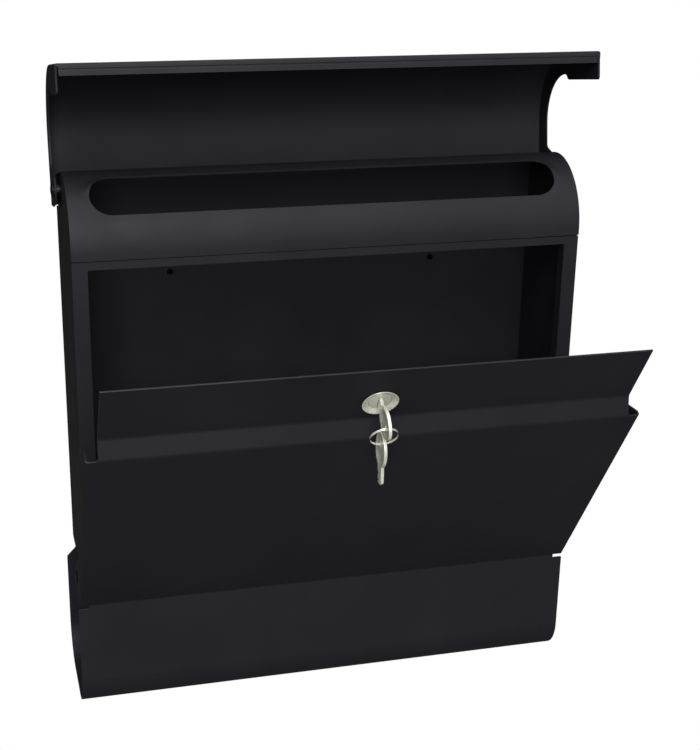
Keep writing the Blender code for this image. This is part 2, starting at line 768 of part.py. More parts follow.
def build_door():
    """The door: panel, set-back strip for the lock, and turned-back sides."""
    low, panel_top, strip_low, strip_top, front, strip = door_levels()
    half = DOOR_HALF_WIDTH
    path = [(front, low), (front, panel_top), (strip, strip_low), (strip, strip_top)]
    obj = solid("door", extruded(folded(path), -half, half), painted("door"))
    top_half = DOOR_STRIP_HALF_WIDTH
    for side in (-1.0, 1.0):
        low_x, high_x = sorted((side * top_half, side * (half + 0.01)))
        notch = block(
            (low_x, front - 0.01, panel_top + SINK),
            (high_x, strip + 0.01, strip_top + 0.01),
        )
        combine(obj, solid("door_notch", notch), "DIFFERENCE")
    for side in (-1.0, 1.0):
        edge = sorted((side * (half - SINK), side * (half - SINK - SHEET)))
        cheek = extruded(door_cheek(), edge[0], edge[1])
        combine(obj, solid("door_cheek", cheek), "UNION")
        bore = rod_along(DOOR_PIN_RADIUS + PIN_CLEARANCE, side * half - 0.01, side * half + 0.01)
        combine(obj, solid("door_bore", bore), "DIFFERENCE")
    lock_bore = rod_along(
        LOCK_CASE_RADIUS + GAP,
        strip - 0.01,
        strip + 0.01,
        "Y",
        (0.0, 0.0, strip_low + LOCK_ABOVE_JOGGLE),
    )
    combine(obj, solid("lock_bore", lock_bore), "DIFFERENCE")
    obj.location = (0.0, DOOR_AXIS_Y, DOOR_AXIS_Z)
    obj.rotation_euler = (math.radians(DOOR_OPEN_DEG), 0.0, 0.0)
    return shade(obj)


# --- pivot pins -------------------------------------------------------------------


def build_pin(name, sign, axis_y, axis_z, radius, cheek_x, foot_flare, head_thickness):
    """A shoulder pin: foot inside the body, shoulder in the gap, head outside."""
    body_in = SIDE_X - SHEET - GAP
    body_out = BODY_HALF_WIDTH + GAP
    shoulder_end = cheek_x - SHEET - GAP
    head = cheek_x + GAP
    profile = [
        (body_in - PIN_FOOT_THICKNESS, 0.0),
        (body_in - PIN_FOOT_THICKNESS, radius + foot_flare * 0.6),
        (body_in - 0.0004, radius + foot_flare),
        (body_in, radius + foot_flare),
        (body_in, radius),
        (body_out, radius),
        (body_out, radius + PIN_SHOULDER_EXTRA),
        (shoulder_end, radius + PIN_SHOULDER_EXTRA),
        (shoulder_end, radius),
        (head, radius),
        (head, PIN_HEAD_RADIUS),
        (head + head_thickness * 0.45, PIN_HEAD_RADIUS),
        (head + head_thickness * 0.85, PIN_HEAD_RADIUS * 0.72),
        (head + head_thickness, PIN_HEAD_RADIUS * 0.38),
        (head + head_thickness, 0.0),
    ]
    mesh = turned([(sign * x, r) for x, r in profile], 28)
    obj = solid(name, mesh, zinc(name))
    obj.location = (0.0, axis_y, axis_z)
    return shade(obj)


# --- lock -------------------------------------------------------------------------


def lock_place():
    """Matrix of the lock: its X axis looks out of the strip, with the door open."""
    _, _, strip_low, _, _, strip = door_levels()
    hinge = Matrix.Translation((0.0, DOOR_AXIS_Y, DOOR_AXIS_Z))
    swing = Matrix.Rotation(math.radians(DOOR_OPEN_DEG), 4, "X")
    face = Matrix.Translation((0.0, strip, strip_low + LOCK_ABOVE_JOGGLE))
    outward = Matrix.Rotation(-math.pi / 2.0, 4, "Z")
    return hinge @ swing @ face @ outward


def settle(obj, matrix):
    """Place the piece by location and rotation."""
    obj.location = matrix.to_translation()
    obj.rotation_euler = matrix.to_euler()
    return obj


def build_lock_case():
    """The lock's barrel with its dished round flange."""
    r = LOCK_FLANGE_RADIUS
    bore = LOCK_PLUG_RADIUS + GAP
    height = LOCK_FLANGE_HEIGHT
    profile = [
        (-LOCK_CASE_LENGTH, 0.0),
        (-LOCK_CASE_LENGTH, LOCK_CASE_RADIUS),
        (GAP, LOCK_CASE_RADIUS),
        (GAP, r - 0.0014),
        (height * 0.75, r),
        (height, r - 0.0003),
        (height, r - 0.0008),
        (height * 0.72, r - 0.0030),
        (height * 0.62, r - 0.0045),
        (height * 0.66, 0.0),
    ]
    obj = solid("lock_case", turned(profile, 48), plated("lock_case"))
    hole = rod_along(bore, -LOCK_CASE_LENGTH - 0.004, 0.010, "X", sides=36)
    combine(obj, solid("plug_bore", hole), "DIFFERENCE")
    return shade(settle(obj, lock_place()))


def build_lock_plug():
    """The turning plug with its keyway."""
    r = LOCK_PLUG_RADIUS
    face = LOCK_FLANGE_HEIGHT * 0.66 + LOCK_PLUG_PROUD
    profile = [
        (-LOCK_CASE_LENGTH - GAP, 0.0),
        (-LOCK_CASE_LENGTH - GAP, r),
        (face - 0.0005, r),
        (face, r - 0.0005),
        (face, 0.0),
    ]
    obj = solid("lock_plug", turned(profile, 36), plated("lock_plug"))
    slack = GAP + 0.0001
    bottom = face + KEY_BLADE_SHOWN - KEY_BLADE_LENGTH - slack
    across = KEY_THICKNESS / 2.0 + slack
    tall = KEY_BLADE_HEIGHT / 2.0 + slack
    keyway = block((bottom, -across, -tall), (face + 0.005, across, tall))
    combine(obj, solid("keyway", keyway), "DIFFERENCE")
    return shade(settle(obj, lock_place()))


def build_lock_nut():
    """The hexagon nut that clamps the barrel behind the strip."""
    front = -SHEET - GAP
    hexagon = rod_along(LOCK_NUT_RADIUS, front - LOCK_NUT_THICKNESS, front, "X", sides=6)
    obj = solid("lock_nut", hexagon, zinc("lock_nut"))
    bore = rod_along(LOCK_CASE_RADIUS + GAP, -0.03, 0.01, "X", sides=36)
    combine(obj, solid("nut_bore", bore), "DIFFERENCE")
    return shade(settle(obj, lock_place()))


def build_lock_cam():
    """The cranked cam on the plug's rear end, turned sideways when unlocked."""
    rear = -LOCK_CASE_LENGTH - 2.0 * GAP
    hook = -SHEET - (DOOR_FRONT_STANDOFF - DOOR_JOGGLE_DEPTH) - GAP * 1.5
    crank = CAM_CRANK_RADIUS
    path = [
        (rear, -CAM_HUB_RADIUS),
        (rear, crank),
        (hook, crank + 0.003),
        (hook, CAM_LENGTH),
    ]
    outline = folded(path[::-1], CAM_THICKNESS)
    mesh = extruded(outline, -CAM_WIDTH / 2.0, CAM_WIDTH / 2.0, "XY")
    obj = solid("lock_cam", mesh, zinc("lock_cam"))
    bore = rod_along(CAM_SCREW_BORE, rear - 0.01, rear + 0.01, "X", sides=24)
    combine(obj, solid("cam_bore", bore), "DIFFERENCE")
    return shade(settle(obj, lock_place()))


def build_cam_screw():
    """The small screw that holds the cam on the plug."""
    rear = -LOCK_CASE_LENGTH - 2.0 * GAP - CAM_THICKNESS
    profile = [
        (rear + CAM_THICKNESS - 0.0001, 0.0),
        (rear + CAM_THICKNESS - 0.0001, CAM_SCREW_BORE - GAP),
        (rear - GAP, CAM_SCREW_BORE - GAP),
        (rear - GAP, CAM_SCREW_RADIUS),
        (rear - GAP - 0.0010, CAM_SCREW_RADIUS),
        (rear - GAP - 0.0016, CAM_SCREW_RADIUS * 0.7),
        (rear - GAP - 0.0016, 0.0),
    ]
    obj = solid("cam_screw", turned(profile, 24), zinc("cam_screw"))
    cross = rear - GAP - 0.0016
    for turn, name in ((0.0, "cross_a"), (90.0, "cross_b")):
        cut = block((cross - 0.002, -0.0016, -0.0004), (cross + 0.0009, 0.0016, 0.0004))
        slot = solid(name, cut)
        combine(obj, slot, "DIFFERENCE")
        slot.rotation_euler = (math.radians(turn), 0.0, 0.0)
    return shade(settle(obj, lock_place()))


# --- keys -------------------------------------------------------------------------


def key_outline():
    """A key in its own plane: +X towards the bow, blade along -X, hole near the tip.

    The origin is the hole's centre.
    """
    bow = KEY_BOW_LENGTH / 2.0
    high = KEY_BOW_HEIGHT / 2.0
    blade = KEY_BLADE_HEIGHT / 2.0
    centre = KEY_HOLE_FROM_TIP - bow
    neck = math.asin(blade / high)
    outline = []
    for index in range(33):
        angle = -math.pi + neck + (2.0 * math.pi - 2.0 * neck) * index / 32
        outline.append((centre + bow * math.cos(angle), high * math.sin(angle)))
    start = centre - bow * math.cos(neck)
    tip = start - KEY_BLADE_LENGTH
    outline += [(tip + 0.0020, blade), (tip, blade - 0.0020), (tip, -blade + 0.0030)]
    first = tip + 0.0014
    pitch = (KEY_BLADE_LENGTH - KEY_BLADE_SHOWN - 0.0020) / len(KEY_CUTS)
    for index, depth in enumerate(KEY_CUTS):
        x = first + index * pitch
        outline += [(x, -blade + 0.0002), (x + 0.35 * pitch, -blade + depth)]
        outline.append((x + 0.65 * pitch, -blade + depth))
    outline.append((start - KEY_BLADE_SHOWN, -blade))
    return outline, start


def build_key(name):
    """One flat key, its hole's centre at the origin and its plane upright."""
    outline, _ = key_outline()
    hole = arc((0.0, 0.0), KEY_HOLE_RADIUS, 0.0, 345.0, 23)
    mesh = extruded(outline, -KEY_THICKNESS / 2, KEY_THICKNESS / 2, "XZ", holes=(hole,))
    return shade(round_edges(solid(name, mesh, plated(name)), 0.0003, 1))


def key_place():
    """Matrix of the key in the lock, at the centre of its hole."""
    _, start = key_outline()
    face = LOCK_FLANGE_HEIGHT * 0.66 + LOCK_PLUG_PROUD
    return lock_place() @ Matrix.Translation((face + KEY_BLADE_SHOWN - start, 0.0, 0.0))


def build_ring():
    """The split ring, its joint in the key's hole."""
    turn = math.radians(RING_HANG_DEG)
    points = []
    for index in range(40):
        angle = 2.0 * math.pi * index / 40
        flat = Vector((0.0, math.sin(angle), math.cos(angle))) * RING_RADIUS
        points.append(flat - Vector((0.0, 0.0, RING_RADIUS)))
    mesh = tube_mesh(points, RING_WIRE_RADIUS, cyclic=True, resolution=2)
    obj = solid("key_ring", mesh, plated("key_ring"))
    place = key_place() @ Matrix.Rotation(turn, 4, "Y")
    return shade(settle(obj, place))


def spare_place():
    """Matrix of the spare key: hanging straight down from the ring's low point."""
    turn = math.radians(RING_HANG_DEG)
    low = key_place() @ Matrix.Rotation(turn, 4, "Y") @ Vector((0.0, 0.0, -2.0 * RING_RADIUS))
    drop = KEY_HOLE_RADIUS - RING_WIRE_RADIUS - GAP
    centre = Matrix.Translation((low.x, low.y, low.z - drop))
    upright = Matrix.Rotation(-math.pi / 2.0, 4, "Z") @ Matrix.Rotation(-math.pi / 2.0, 4, "Y")
    return centre @ Matrix.Rotation(math.radians(SPARE_KEY_TURN_DEG), 4, "Z") @ upright


def build_lock_and_keys():
    """Lock, key, ring and spare key on the door's strip."""
    build_lock_case()
    build_lock_nut()
    build_lock_plug()
    build_lock_cam()
    build_cam_screw()
    settle(build_key("key"), key_place())
    build_ring()
    settle(build_key("spare_key"), spare_place())


def main():
    """Build every piece, back to front."""
    clear_scene()
    build_rear_panel()
    build_hanging_rail()
    build_side("side_left", -1.0)
    build_side("side_right", 1.0)
    build_floor()
    build_front_frame()
    build_hood()
    build_trough()
    build_lid()
    build_door()
    for name, sign in (("left", -1.0), ("right", 1.0)):
        build_pin(
            "lid_pin_" + name,
            sign,
            LID_AXIS_Y,
            LID_AXIS_Z,
            LID_PIN_RADIUS,
            LID_HALF_WIDTH + sign * LID_SHIFT,
            LID_PIN_FOOT_FLARE,
            LID_PIN_HEAD_THICKNESS,
        )
        build_pin(
            "door_pin_" + name,
            sign,
            DOOR_AXIS_Y,
            DOOR_AXIS_Z,
            DOOR_PIN_RADIUS,
            DOOR_HALF_WIDTH,
            DOOR_PIN_FOOT_FLARE,
            DOOR_PIN_HEAD_THICKNESS,
        )
    build_lock_and_keys()


main()
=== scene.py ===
"""Wall mounted mailbox: sheet pieces with real folds, lock, keys, finishes and a plain studio."""

import json
import logging
import math
from dataclasses import dataclass
from enum import Enum
from typing import Any, Iterable, Sequence

import bmesh
import bpy
from mathutils import Matrix, Vector

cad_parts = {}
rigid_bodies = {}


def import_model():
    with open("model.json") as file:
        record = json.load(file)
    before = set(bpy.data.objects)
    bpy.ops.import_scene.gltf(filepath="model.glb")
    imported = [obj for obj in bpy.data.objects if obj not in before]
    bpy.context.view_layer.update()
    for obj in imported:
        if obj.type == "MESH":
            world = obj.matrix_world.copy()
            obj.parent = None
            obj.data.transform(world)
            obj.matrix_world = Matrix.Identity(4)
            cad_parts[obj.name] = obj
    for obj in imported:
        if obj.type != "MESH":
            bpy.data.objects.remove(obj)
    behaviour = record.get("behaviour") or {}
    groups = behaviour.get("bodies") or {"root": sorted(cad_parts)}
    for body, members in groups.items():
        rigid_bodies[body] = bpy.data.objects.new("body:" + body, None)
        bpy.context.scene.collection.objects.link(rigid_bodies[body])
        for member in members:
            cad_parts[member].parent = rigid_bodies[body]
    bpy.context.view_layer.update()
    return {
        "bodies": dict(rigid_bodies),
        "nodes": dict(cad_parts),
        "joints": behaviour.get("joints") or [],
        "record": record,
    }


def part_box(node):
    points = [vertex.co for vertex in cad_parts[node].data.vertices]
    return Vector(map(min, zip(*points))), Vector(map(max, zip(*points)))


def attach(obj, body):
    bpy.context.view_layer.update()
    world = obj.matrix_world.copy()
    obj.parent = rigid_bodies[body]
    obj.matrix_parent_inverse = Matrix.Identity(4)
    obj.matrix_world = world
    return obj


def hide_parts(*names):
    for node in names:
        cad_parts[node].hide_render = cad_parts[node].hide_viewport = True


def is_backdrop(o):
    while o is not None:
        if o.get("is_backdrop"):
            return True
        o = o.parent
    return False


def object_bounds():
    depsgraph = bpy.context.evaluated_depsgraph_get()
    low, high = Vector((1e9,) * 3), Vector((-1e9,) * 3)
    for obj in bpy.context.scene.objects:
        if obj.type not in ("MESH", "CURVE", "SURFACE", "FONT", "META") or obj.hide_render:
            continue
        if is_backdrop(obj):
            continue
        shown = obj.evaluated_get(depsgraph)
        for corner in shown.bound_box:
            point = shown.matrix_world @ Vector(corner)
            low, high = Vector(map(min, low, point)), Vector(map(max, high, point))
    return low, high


LOG = logging.getLogger("mailbox")
MM = 0.001
SHEET = 1.2 * MM
STANDOFF = 17.0 * MM
BODY_DEPTH = 97.0 * MM
Pair = tuple[float, float]
Shape = bmesh.types.BMesh
Edge = bmesh.types.BMEdge
Tree = bpy.types.NodeTree
Socket = bpy.types.NodeSocket
Object = bpy.types.Object


class Slot(Enum):
    """The record's material slots."""

    PAINT = "paint"
    NICKEL = "nickel"
    ZINC = "zinc"


class Body(Enum):
    """The rigid bodies that pieces ride on."""

    CASE = "body"
    LID = "lid"
    DOOR = "door"
    PLUG = "plug"
    KEY = "key"
    RING = "ring"
    SPARE = "spare_key"


# --- node helpers ---


def add_node(tree: Tree, kind: str, **values: Any) -> bpy.types.Node:
    """Add a node and set its plain attributes.

    Args:
        tree: the node tree.
        kind: the node's type name.
        values: attribute names with their values.

    Returns:
        The new node.
    """
    node = tree.nodes.new(kind)
    for name, value in values.items():
        setattr(node, name, value)
    return node


def noise(
    tree: Tree, coords: Socket, scale: float, detail: float, rough: float
) -> Socket:
    """A noise pattern on the object's own coordinates.

    Args:
        tree: the node tree.
        coords: the coordinate socket.
        scale: features per metre.
        detail: number of octaves.
        rough: roughness of the octaves.

    Returns:
        The factor socket.
    """
    node = add_node(tree, "ShaderNodeTexNoise")
    node.inputs["Scale"].default_value = scale
    node.inputs["Detail"].default_value = detail
    node.inputs["Roughness"].default_value = rough
    tree.links.new(coords, node.inputs["Vector"])
    return node.outputs[0]


def spread(
    tree: Tree, value: Socket, low: float, high: float
) -> Socket:
    """Stretch a pattern's usual range onto low..high.

    Args:
        tree: the node tree.
        value: the pattern.
        low: result where the pattern is 0.3.
        high: result where the pattern is 0.7.

    Returns:
        The mapped socket.
    """
    node = add_node(tree, "ShaderNodeMapRange")
    node.inputs["From Min"].default_value = 0.3
    node.inputs["From Max"].default_value = 0.7
    node.inputs["To Min"].default_value = low
    node.inputs["To Max"].default_value = high
    tree.links.new(value, node.inputs["Value"])
    return node.outputs[0]


def blend_colours(
    tree: Tree, factor: Socket, first: Sequence[float], second: Sequence[float]
) -> Socket:
    """Mix two colours by a pattern.

    Args:
        tree: the node tree.
        factor: the pattern, 0 to 1.
        first: linear colour at 0.
        second: linear colour at 1.

    Returns:
        The colour socket.
    """
    node = add_node(tree, "ShaderNodeMix", data_type="RGBA")
    tree.links.new(factor, node.inputs[0])
    node.inputs[6].default_value = (*first, 1.0)
    node.inputs[7].default_value = (*second, 1.0)
    return node.outputs[2]


def bump(
    tree: Tree,
    height: Socket,
    strength: float,
    distance: float,
    below: Socket | None = None,
) -> Socket:
    """Turn a height pattern into a normal.

    Args:
        tree: the node tree.
        height: the height pattern.
        strength: 0 to 1.
        distance: depth in metres.
        below: an earlier bump's normal to build on.

    Returns:
        The normal socket.
    """
    node = add_node(tree, "ShaderNodeBump")
    node.inputs["Strength"].default_value = strength
    node.inputs["Distance"].default_value = distance
    tree.links.new(height, node.inputs["Height"])
    if below is not None:
        tree.links.new(below, node.inputs["Normal"])
    return node.outputs[0]


def blank_material(name: str) -> tuple[bpy.types.Material, bpy.types.Node, Socket]:
    """A material with its Principled shader and object coordinates.

    Args:
        name: the material's name.

    Returns:
        The material, the shader and the coordinate socket.
    """
    material = bpy.data.materials.new(name)
    material.use_nodes = True
    shader = material.node_tree.nodes["Principled BSDF"]
    coords = add_node(material.node_tree, "ShaderNodeTexCoord").outputs["Object"]
    return material, shader, coords


# --- finishes ---


@dataclass(frozen=True)
class PowderCoat:
    """Anthracite powder coat: near black, faintly violet, with a fine orange peel."""

    name: str = "anthracite_powder_coat"
    dark: tuple[float, float, float] = (0.0122, 0.0114, 0.0152)
    light: tuple[float, float, float] = (0.0160, 0.0150, 0.0198)
    roughness: Pair = (0.46, 0.58)
    specular: float = 0.16
    peel_per_m: float = 620.0
    grain_per_m: float = 2600.0
    peel_depth: float = 0.00009

    def material(self) -> bpy.types.Material:
        """Build the material."""
        material, shader, coords = blank_material(self.name)
        tree = material.node_tree
        cloud = spread(tree, noise(tree, coords, 9.0, 4.0, 0.55), 0.0, 1.0)
        colour = blend_colours(tree, cloud, self.dark, self.light)
        tree.links.new(colour, shader.inputs["Base Color"])
        wipe = noise(tree, coords, 38.0, 5.0, 0.6)
        tree.links.new(spread(tree, wipe, *self.roughness), shader.inputs["Roughness"])
        shader.inputs["Specular IOR Level"].default_value = self.specular
        peel = noise(tree, coords, self.peel_per_m, 2.0, 0.45)
        grain = noise(tree, coords, self.grain_per_m, 2.0, 0.5)
        soft = bump(tree, peel, 0.35, self.peel_depth)
        tree.links.new(bump(tree, grain, 0.25, 0.00003, soft), shader.inputs["Normal"])
        return material


@dataclass(frozen=True)
class EdgeWearAndHighlight(PowderCoat):
    """The same coat on the edges: a little paler, as painted highlight and as wear where it thins,
    and smoother.
    """

    name: str = "anthracite_coat_edge_wear_and_painted_highlight"
    # paler than the coat on every edge: painted highlight, and wear
    dark: tuple[float, float, float] = (0.015, 0.0145, 0.0168)
    light: tuple[float, float, float] = (0.027, 0.0262, 0.029)
    roughness: Pair = (0.36, 0.48)
    specular: float = 0.28


@dataclass(frozen=True)
class Plating:
    """Bright plated metal with fine turning or polishing marks and dull patches."""

    name: str
    colour: tuple[float, float, float]
    shade: tuple[float, float, float]
    roughness: Pair
    metallic: float = 1.0
    scratch_per_m: float = 1500.0
    scratch_depth: float = 0.00002

    def material(self) -> bpy.types.Material:
        """Build the material."""
        material, shader, coords = blank_material(self.name)
        tree = material.node_tree
        shader.inputs["Metallic"].default_value = self.metallic
        patch = spread(tree, noise(tree, coords, 160.0, 5.0, 0.6), 0.0, 1.0)
        colour = blend_colours(tree, patch, self.shade, self.colour)
        tree.links.new(colour, shader.inputs["Base Color"])
        smear = noise(tree, coords, 420.0, 4.0, 0.65)
        tree.links.new(spread(tree, smear, *self.roughness), shader.inputs["Roughness"])
        mapping = add_node(tree, "ShaderNodeMapping")
        mapping.inputs["Scale"].default_value = (1.0, 0.12, 1.0)
        mapping.inputs["Rotation"].default_value = (0.6, 0.2, 0.4)
        tree.links.new(coords, mapping.inputs["Vector"])
        marks = noise(tree, mapping.outputs[0], self.scratch_per_m, 3.0, 0.7)
        wear = bump(tree, noise(tree, coords, 700.0, 3.0, 0.5), 0.3, 0.00004)
        tree.links.new(bump(tree, marks, 0.45, self.scratch_depth, wear), shader.inputs["Normal"])
        return material


NICKEL = Plating("nickel_plate", (0.90, 0.90, 0.78), (0.72, 0.72, 0.60), (0.24, 0.40), 0.42)
WORN_NICKEL = Plating(
    "worn_nickel_plate", (0.74, 0.74, 0.64), (0.56, 0.56, 0.48), (0.3, 0.5), 0.3
)
ZINC = Plating("zinc_plate", (0.56, 0.57, 0.60), (0.40, 0.41, 0.44), (0.30, 0.48))
DARK_PIN = Plating("blackened_pin", (0.045, 0.045, 0.05), (0.025, 0.025, 0.03), (0.36, 0.52))


class Finishes:
    """Makes each finish once and hands it out."""

    def __init__(self) -> None:
        """Build every material."""
        self.coat = PowderCoat().material()
        # the edge coat: paler as a painted highlight and as wear
        self.edge = EdgeWearAndHighlight().material()
        self.nickel = NICKEL.material()
        self.worn = WORN_NICKEL.material()
        self.zinc = ZINC.material()
        self.pin = DARK_PIN.material()

    def painted(self) -> list[bpy.types.Material]:
        """The coat for faces and, second, the coat on edges with its painted highlight."""
        return [self.coat, self.edge]


# --- mesh helpers ---


def arc(centre: Pair, radius: float, start: float, end: float, steps: int) -> list[Pair]:
    """Points of an arc.

    Args:
        centre: its centre.
        radius: its radius.
        start: first angle in degrees.
        end: last angle in degrees.
        steps: number of pieces.

    Returns:
        The points, ends included.
    """
    angles = [math.radians(start + (end - start) * i / steps) for i in range(steps + 1)]
    return [(centre[0] + radius * math.cos(a), centre[1] + radius * math.sin(a)) for a in angles]


def wire(shape: Shape, points: Iterable[Vector], closed: bool) -> list[Edge]:
    """Lay a line of edges through the points.

    Args:
        shape: the mesh being built.
        points: the corners in order.
        closed: whether the line returns to its start.

    Returns:
        The edges in order.
    """
    verts = [shape.verts.new(point) for point in points]
    pairs = list(zip(verts, verts[1:]))
    if closed:
        pairs.append((verts[-1], verts[0]))
    return [shape.edges.new(pair) for pair in pairs]


def pull(
    shape: Shape, edges: Sequence[Edge], move: Vector, narrow: float = 0.0
) -> list[Edge]:
    """Extrude edges into a strip of sheet.

    Args:
        shape: the mesh being built.
        edges: the edges to pull.
        move: how far.
        narrow: how much each end draws in along X.

    Returns:
        The moved edges.
    """
    grown = bmesh.ops.extrude_edge_only(shape, edges=list(edges))["geom"]
    verts = [item for item in grown if isinstance(item, bmesh.types.BMVert)]
    bmesh.ops.translate(shape, verts=verts, vec=move)
    if narrow:
        for vert in verts:
            vert.co.x -= math.copysign(narrow, vert.co.x)
    kept = set(verts)
    return [
        item
        for item in grown
        if isinstance(item, Edge) and item.verts[0] in kept and item.verts[1] in kept
    ]


def face_outwards(shape: Shape, inside: Vector) -> None:
    """Turn an open sheet so that its widest face looks away from a point inside.

    Args:
        shape: the mesh being built.
        inside: a point on the sheet's inner side.
    """
    bmesh.ops.recalc_face_normals(shape, faces=shape.faces)
    widest = max(shape.faces, key=lambda face: face.calc_area())
    if widest.normal.dot(widest.calc_center_median() - inside) < 0.0:
        bmesh.ops.reverse_faces(shape, faces=shape.faces)


def roll_folds(shape: Shape, edges: Iterable[Edge], radius: float) -> None:
    """Round the folds of a sheet.

    Args:
        shape: the mesh being built.
        edges: the fold lines.
        radius: setback of the bend on each side.
    """
    bmesh.ops.bevel(
        shape,
        geom=list(edges),
        offset=radius,
        offset_type="OFFSET",
        affect="EDGES",
        segments=4,
        profile=0.5,
        material=-1,
        clamp_overlap=True,
    )


def folds_sharper_than(shape: Shape, degrees: float) -> list[Edge]:
    """Edges between two faces that meet at more than an angle."""
    limit = math.radians(degrees)
    return [e for e in shape.edges if len(e.link_faces) == 2 and e.calc_face_angle() > limit]


class Bench:
    """Finishes a mesh as a piece of the mailbox and keeps the log."""

    def __init__(self, finishes: Finishes, nodes: dict[str, Object]) -> None:
        """Keep the finishes and the loaded nodes."""
        self.finishes = finishes
        self.nodes = nodes

    def piece(
        self,
        name: str,
        shape: Shape,
        materials: Sequence[bpy.types.Material],
        body: Body,
        stands_for: Sequence[str],
        crease: float = 34.0,
    ) -> Object:
        """Turn a finished bmesh into a piece that rides on a body.

        Args:
            name: the piece's name.
            shape: its mesh, in place.
            materials: its finishes.
            body: what it moves with.
            stands_for: the frame nodes it replaces.
            crease: angle in degrees over which an edge stays sharp.

        Returns:
            The new object.
        """
        mesh = bpy.data.meshes.new(name)
        shape.to_mesh(mesh)
        shape.free()
        mesh.shade_smooth()
        mesh.set_sharp_from_angle(angle=math.radians(crease))
        obj = bpy.data.objects.new(name, mesh)
        bpy.context.scene.collection.objects.link(obj)
        for material in materials:
            mesh.materials.append(material)
        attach(obj, body.value)
        if stands_for:
            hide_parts(*stands_for)
        LOG.info("%s rides on %s, %d faces", name, body.value, len(mesh.polygons))
        return obj

    def thicken(self, obj: Object, thickness: float, edge: float) -> Object:
        """Give an open sheet its thickness and break its cut edges.

        Args:
            obj: the sheet.
            thickness: sheet thickness, laid on the inner side.
            edge: width of the edge break.

        Returns:
            The same object.
        """
        solid = obj.modifiers.new("sheet_thickness", "SOLIDIFY")
        solid.thickness = thickness
        solid.offset = -1.0
        solid.use_even_offset = True
        return self.break_edges(obj, edge)

    def break_edges(self, obj: Object, edge: float, segments: int = 2) -> Object:
        """Round the cut edges; the second material, if any, with its painted highlight, goes on
        them.

        Args:
            obj: the piece.
            edge: width of the rounding.
            segments: faces across it.

        Returns:
            The same object.
        """
        bevel = obj.modifiers.new("edge_break", "BEVEL")
        bevel.width = edge
        bevel.segments = segments
        bevel.limit_method = "ANGLE"
        bevel.angle_limit = math.radians(50.0)
        bevel.use_clamp_overlap = True
        bevel.harden_normals = True
        # the bevel's faces get the paler edge coat: a painted highlight on every edge
        if len(obj.data.materials) > 1:
            bevel.material = 1
        return obj

    def softened(self, node: str, body: Body, edge: float) -> Object:
        """A copy of a frame node, merged into clean faces, with rounded edges.

        Args:
            node: the frame node.
            body: what it moves with.
            edge: width of the rounding.

        Returns:
            The new piece.
        """
        shape = bmesh.new()
        shape.from_mesh(self.nodes[node].data)
        bmesh.ops.remove_doubles(shape, verts=shape.verts, dist=0.005 * MM)
        bmesh.ops.dissolve_limit(
            shape,
            angle_limit=math.radians(0.6),
            verts=shape.verts,
            edges=shape.edges,
            use_dissolve_boundaries=False,
        )
        name = node + "_coated"
        painted = self.finishes.painted()
        obj = self.piece(name, shape, painted, body, [node])
        return self.break_edges(obj, edge)


# --- case ---


@dataclass
class Case:
    """Sides, floor, rear panel, hanging rail, front frame and trough."""

    edge: float = 0.30 * MM
    sheets: tuple[str, ...] = (
        "rear_panel",
        "hanging_rail",
        "side_left",
        "side_right",
        "floor_panel",
        "front_frame",
        "newspaper_trough",
    )

    def build(self, bench: Bench) -> None:
        """Coat and soften each folded sheet of the case."""
        for node in self.sheets:
            bench.softened(node, Body.CASE, self.edge)


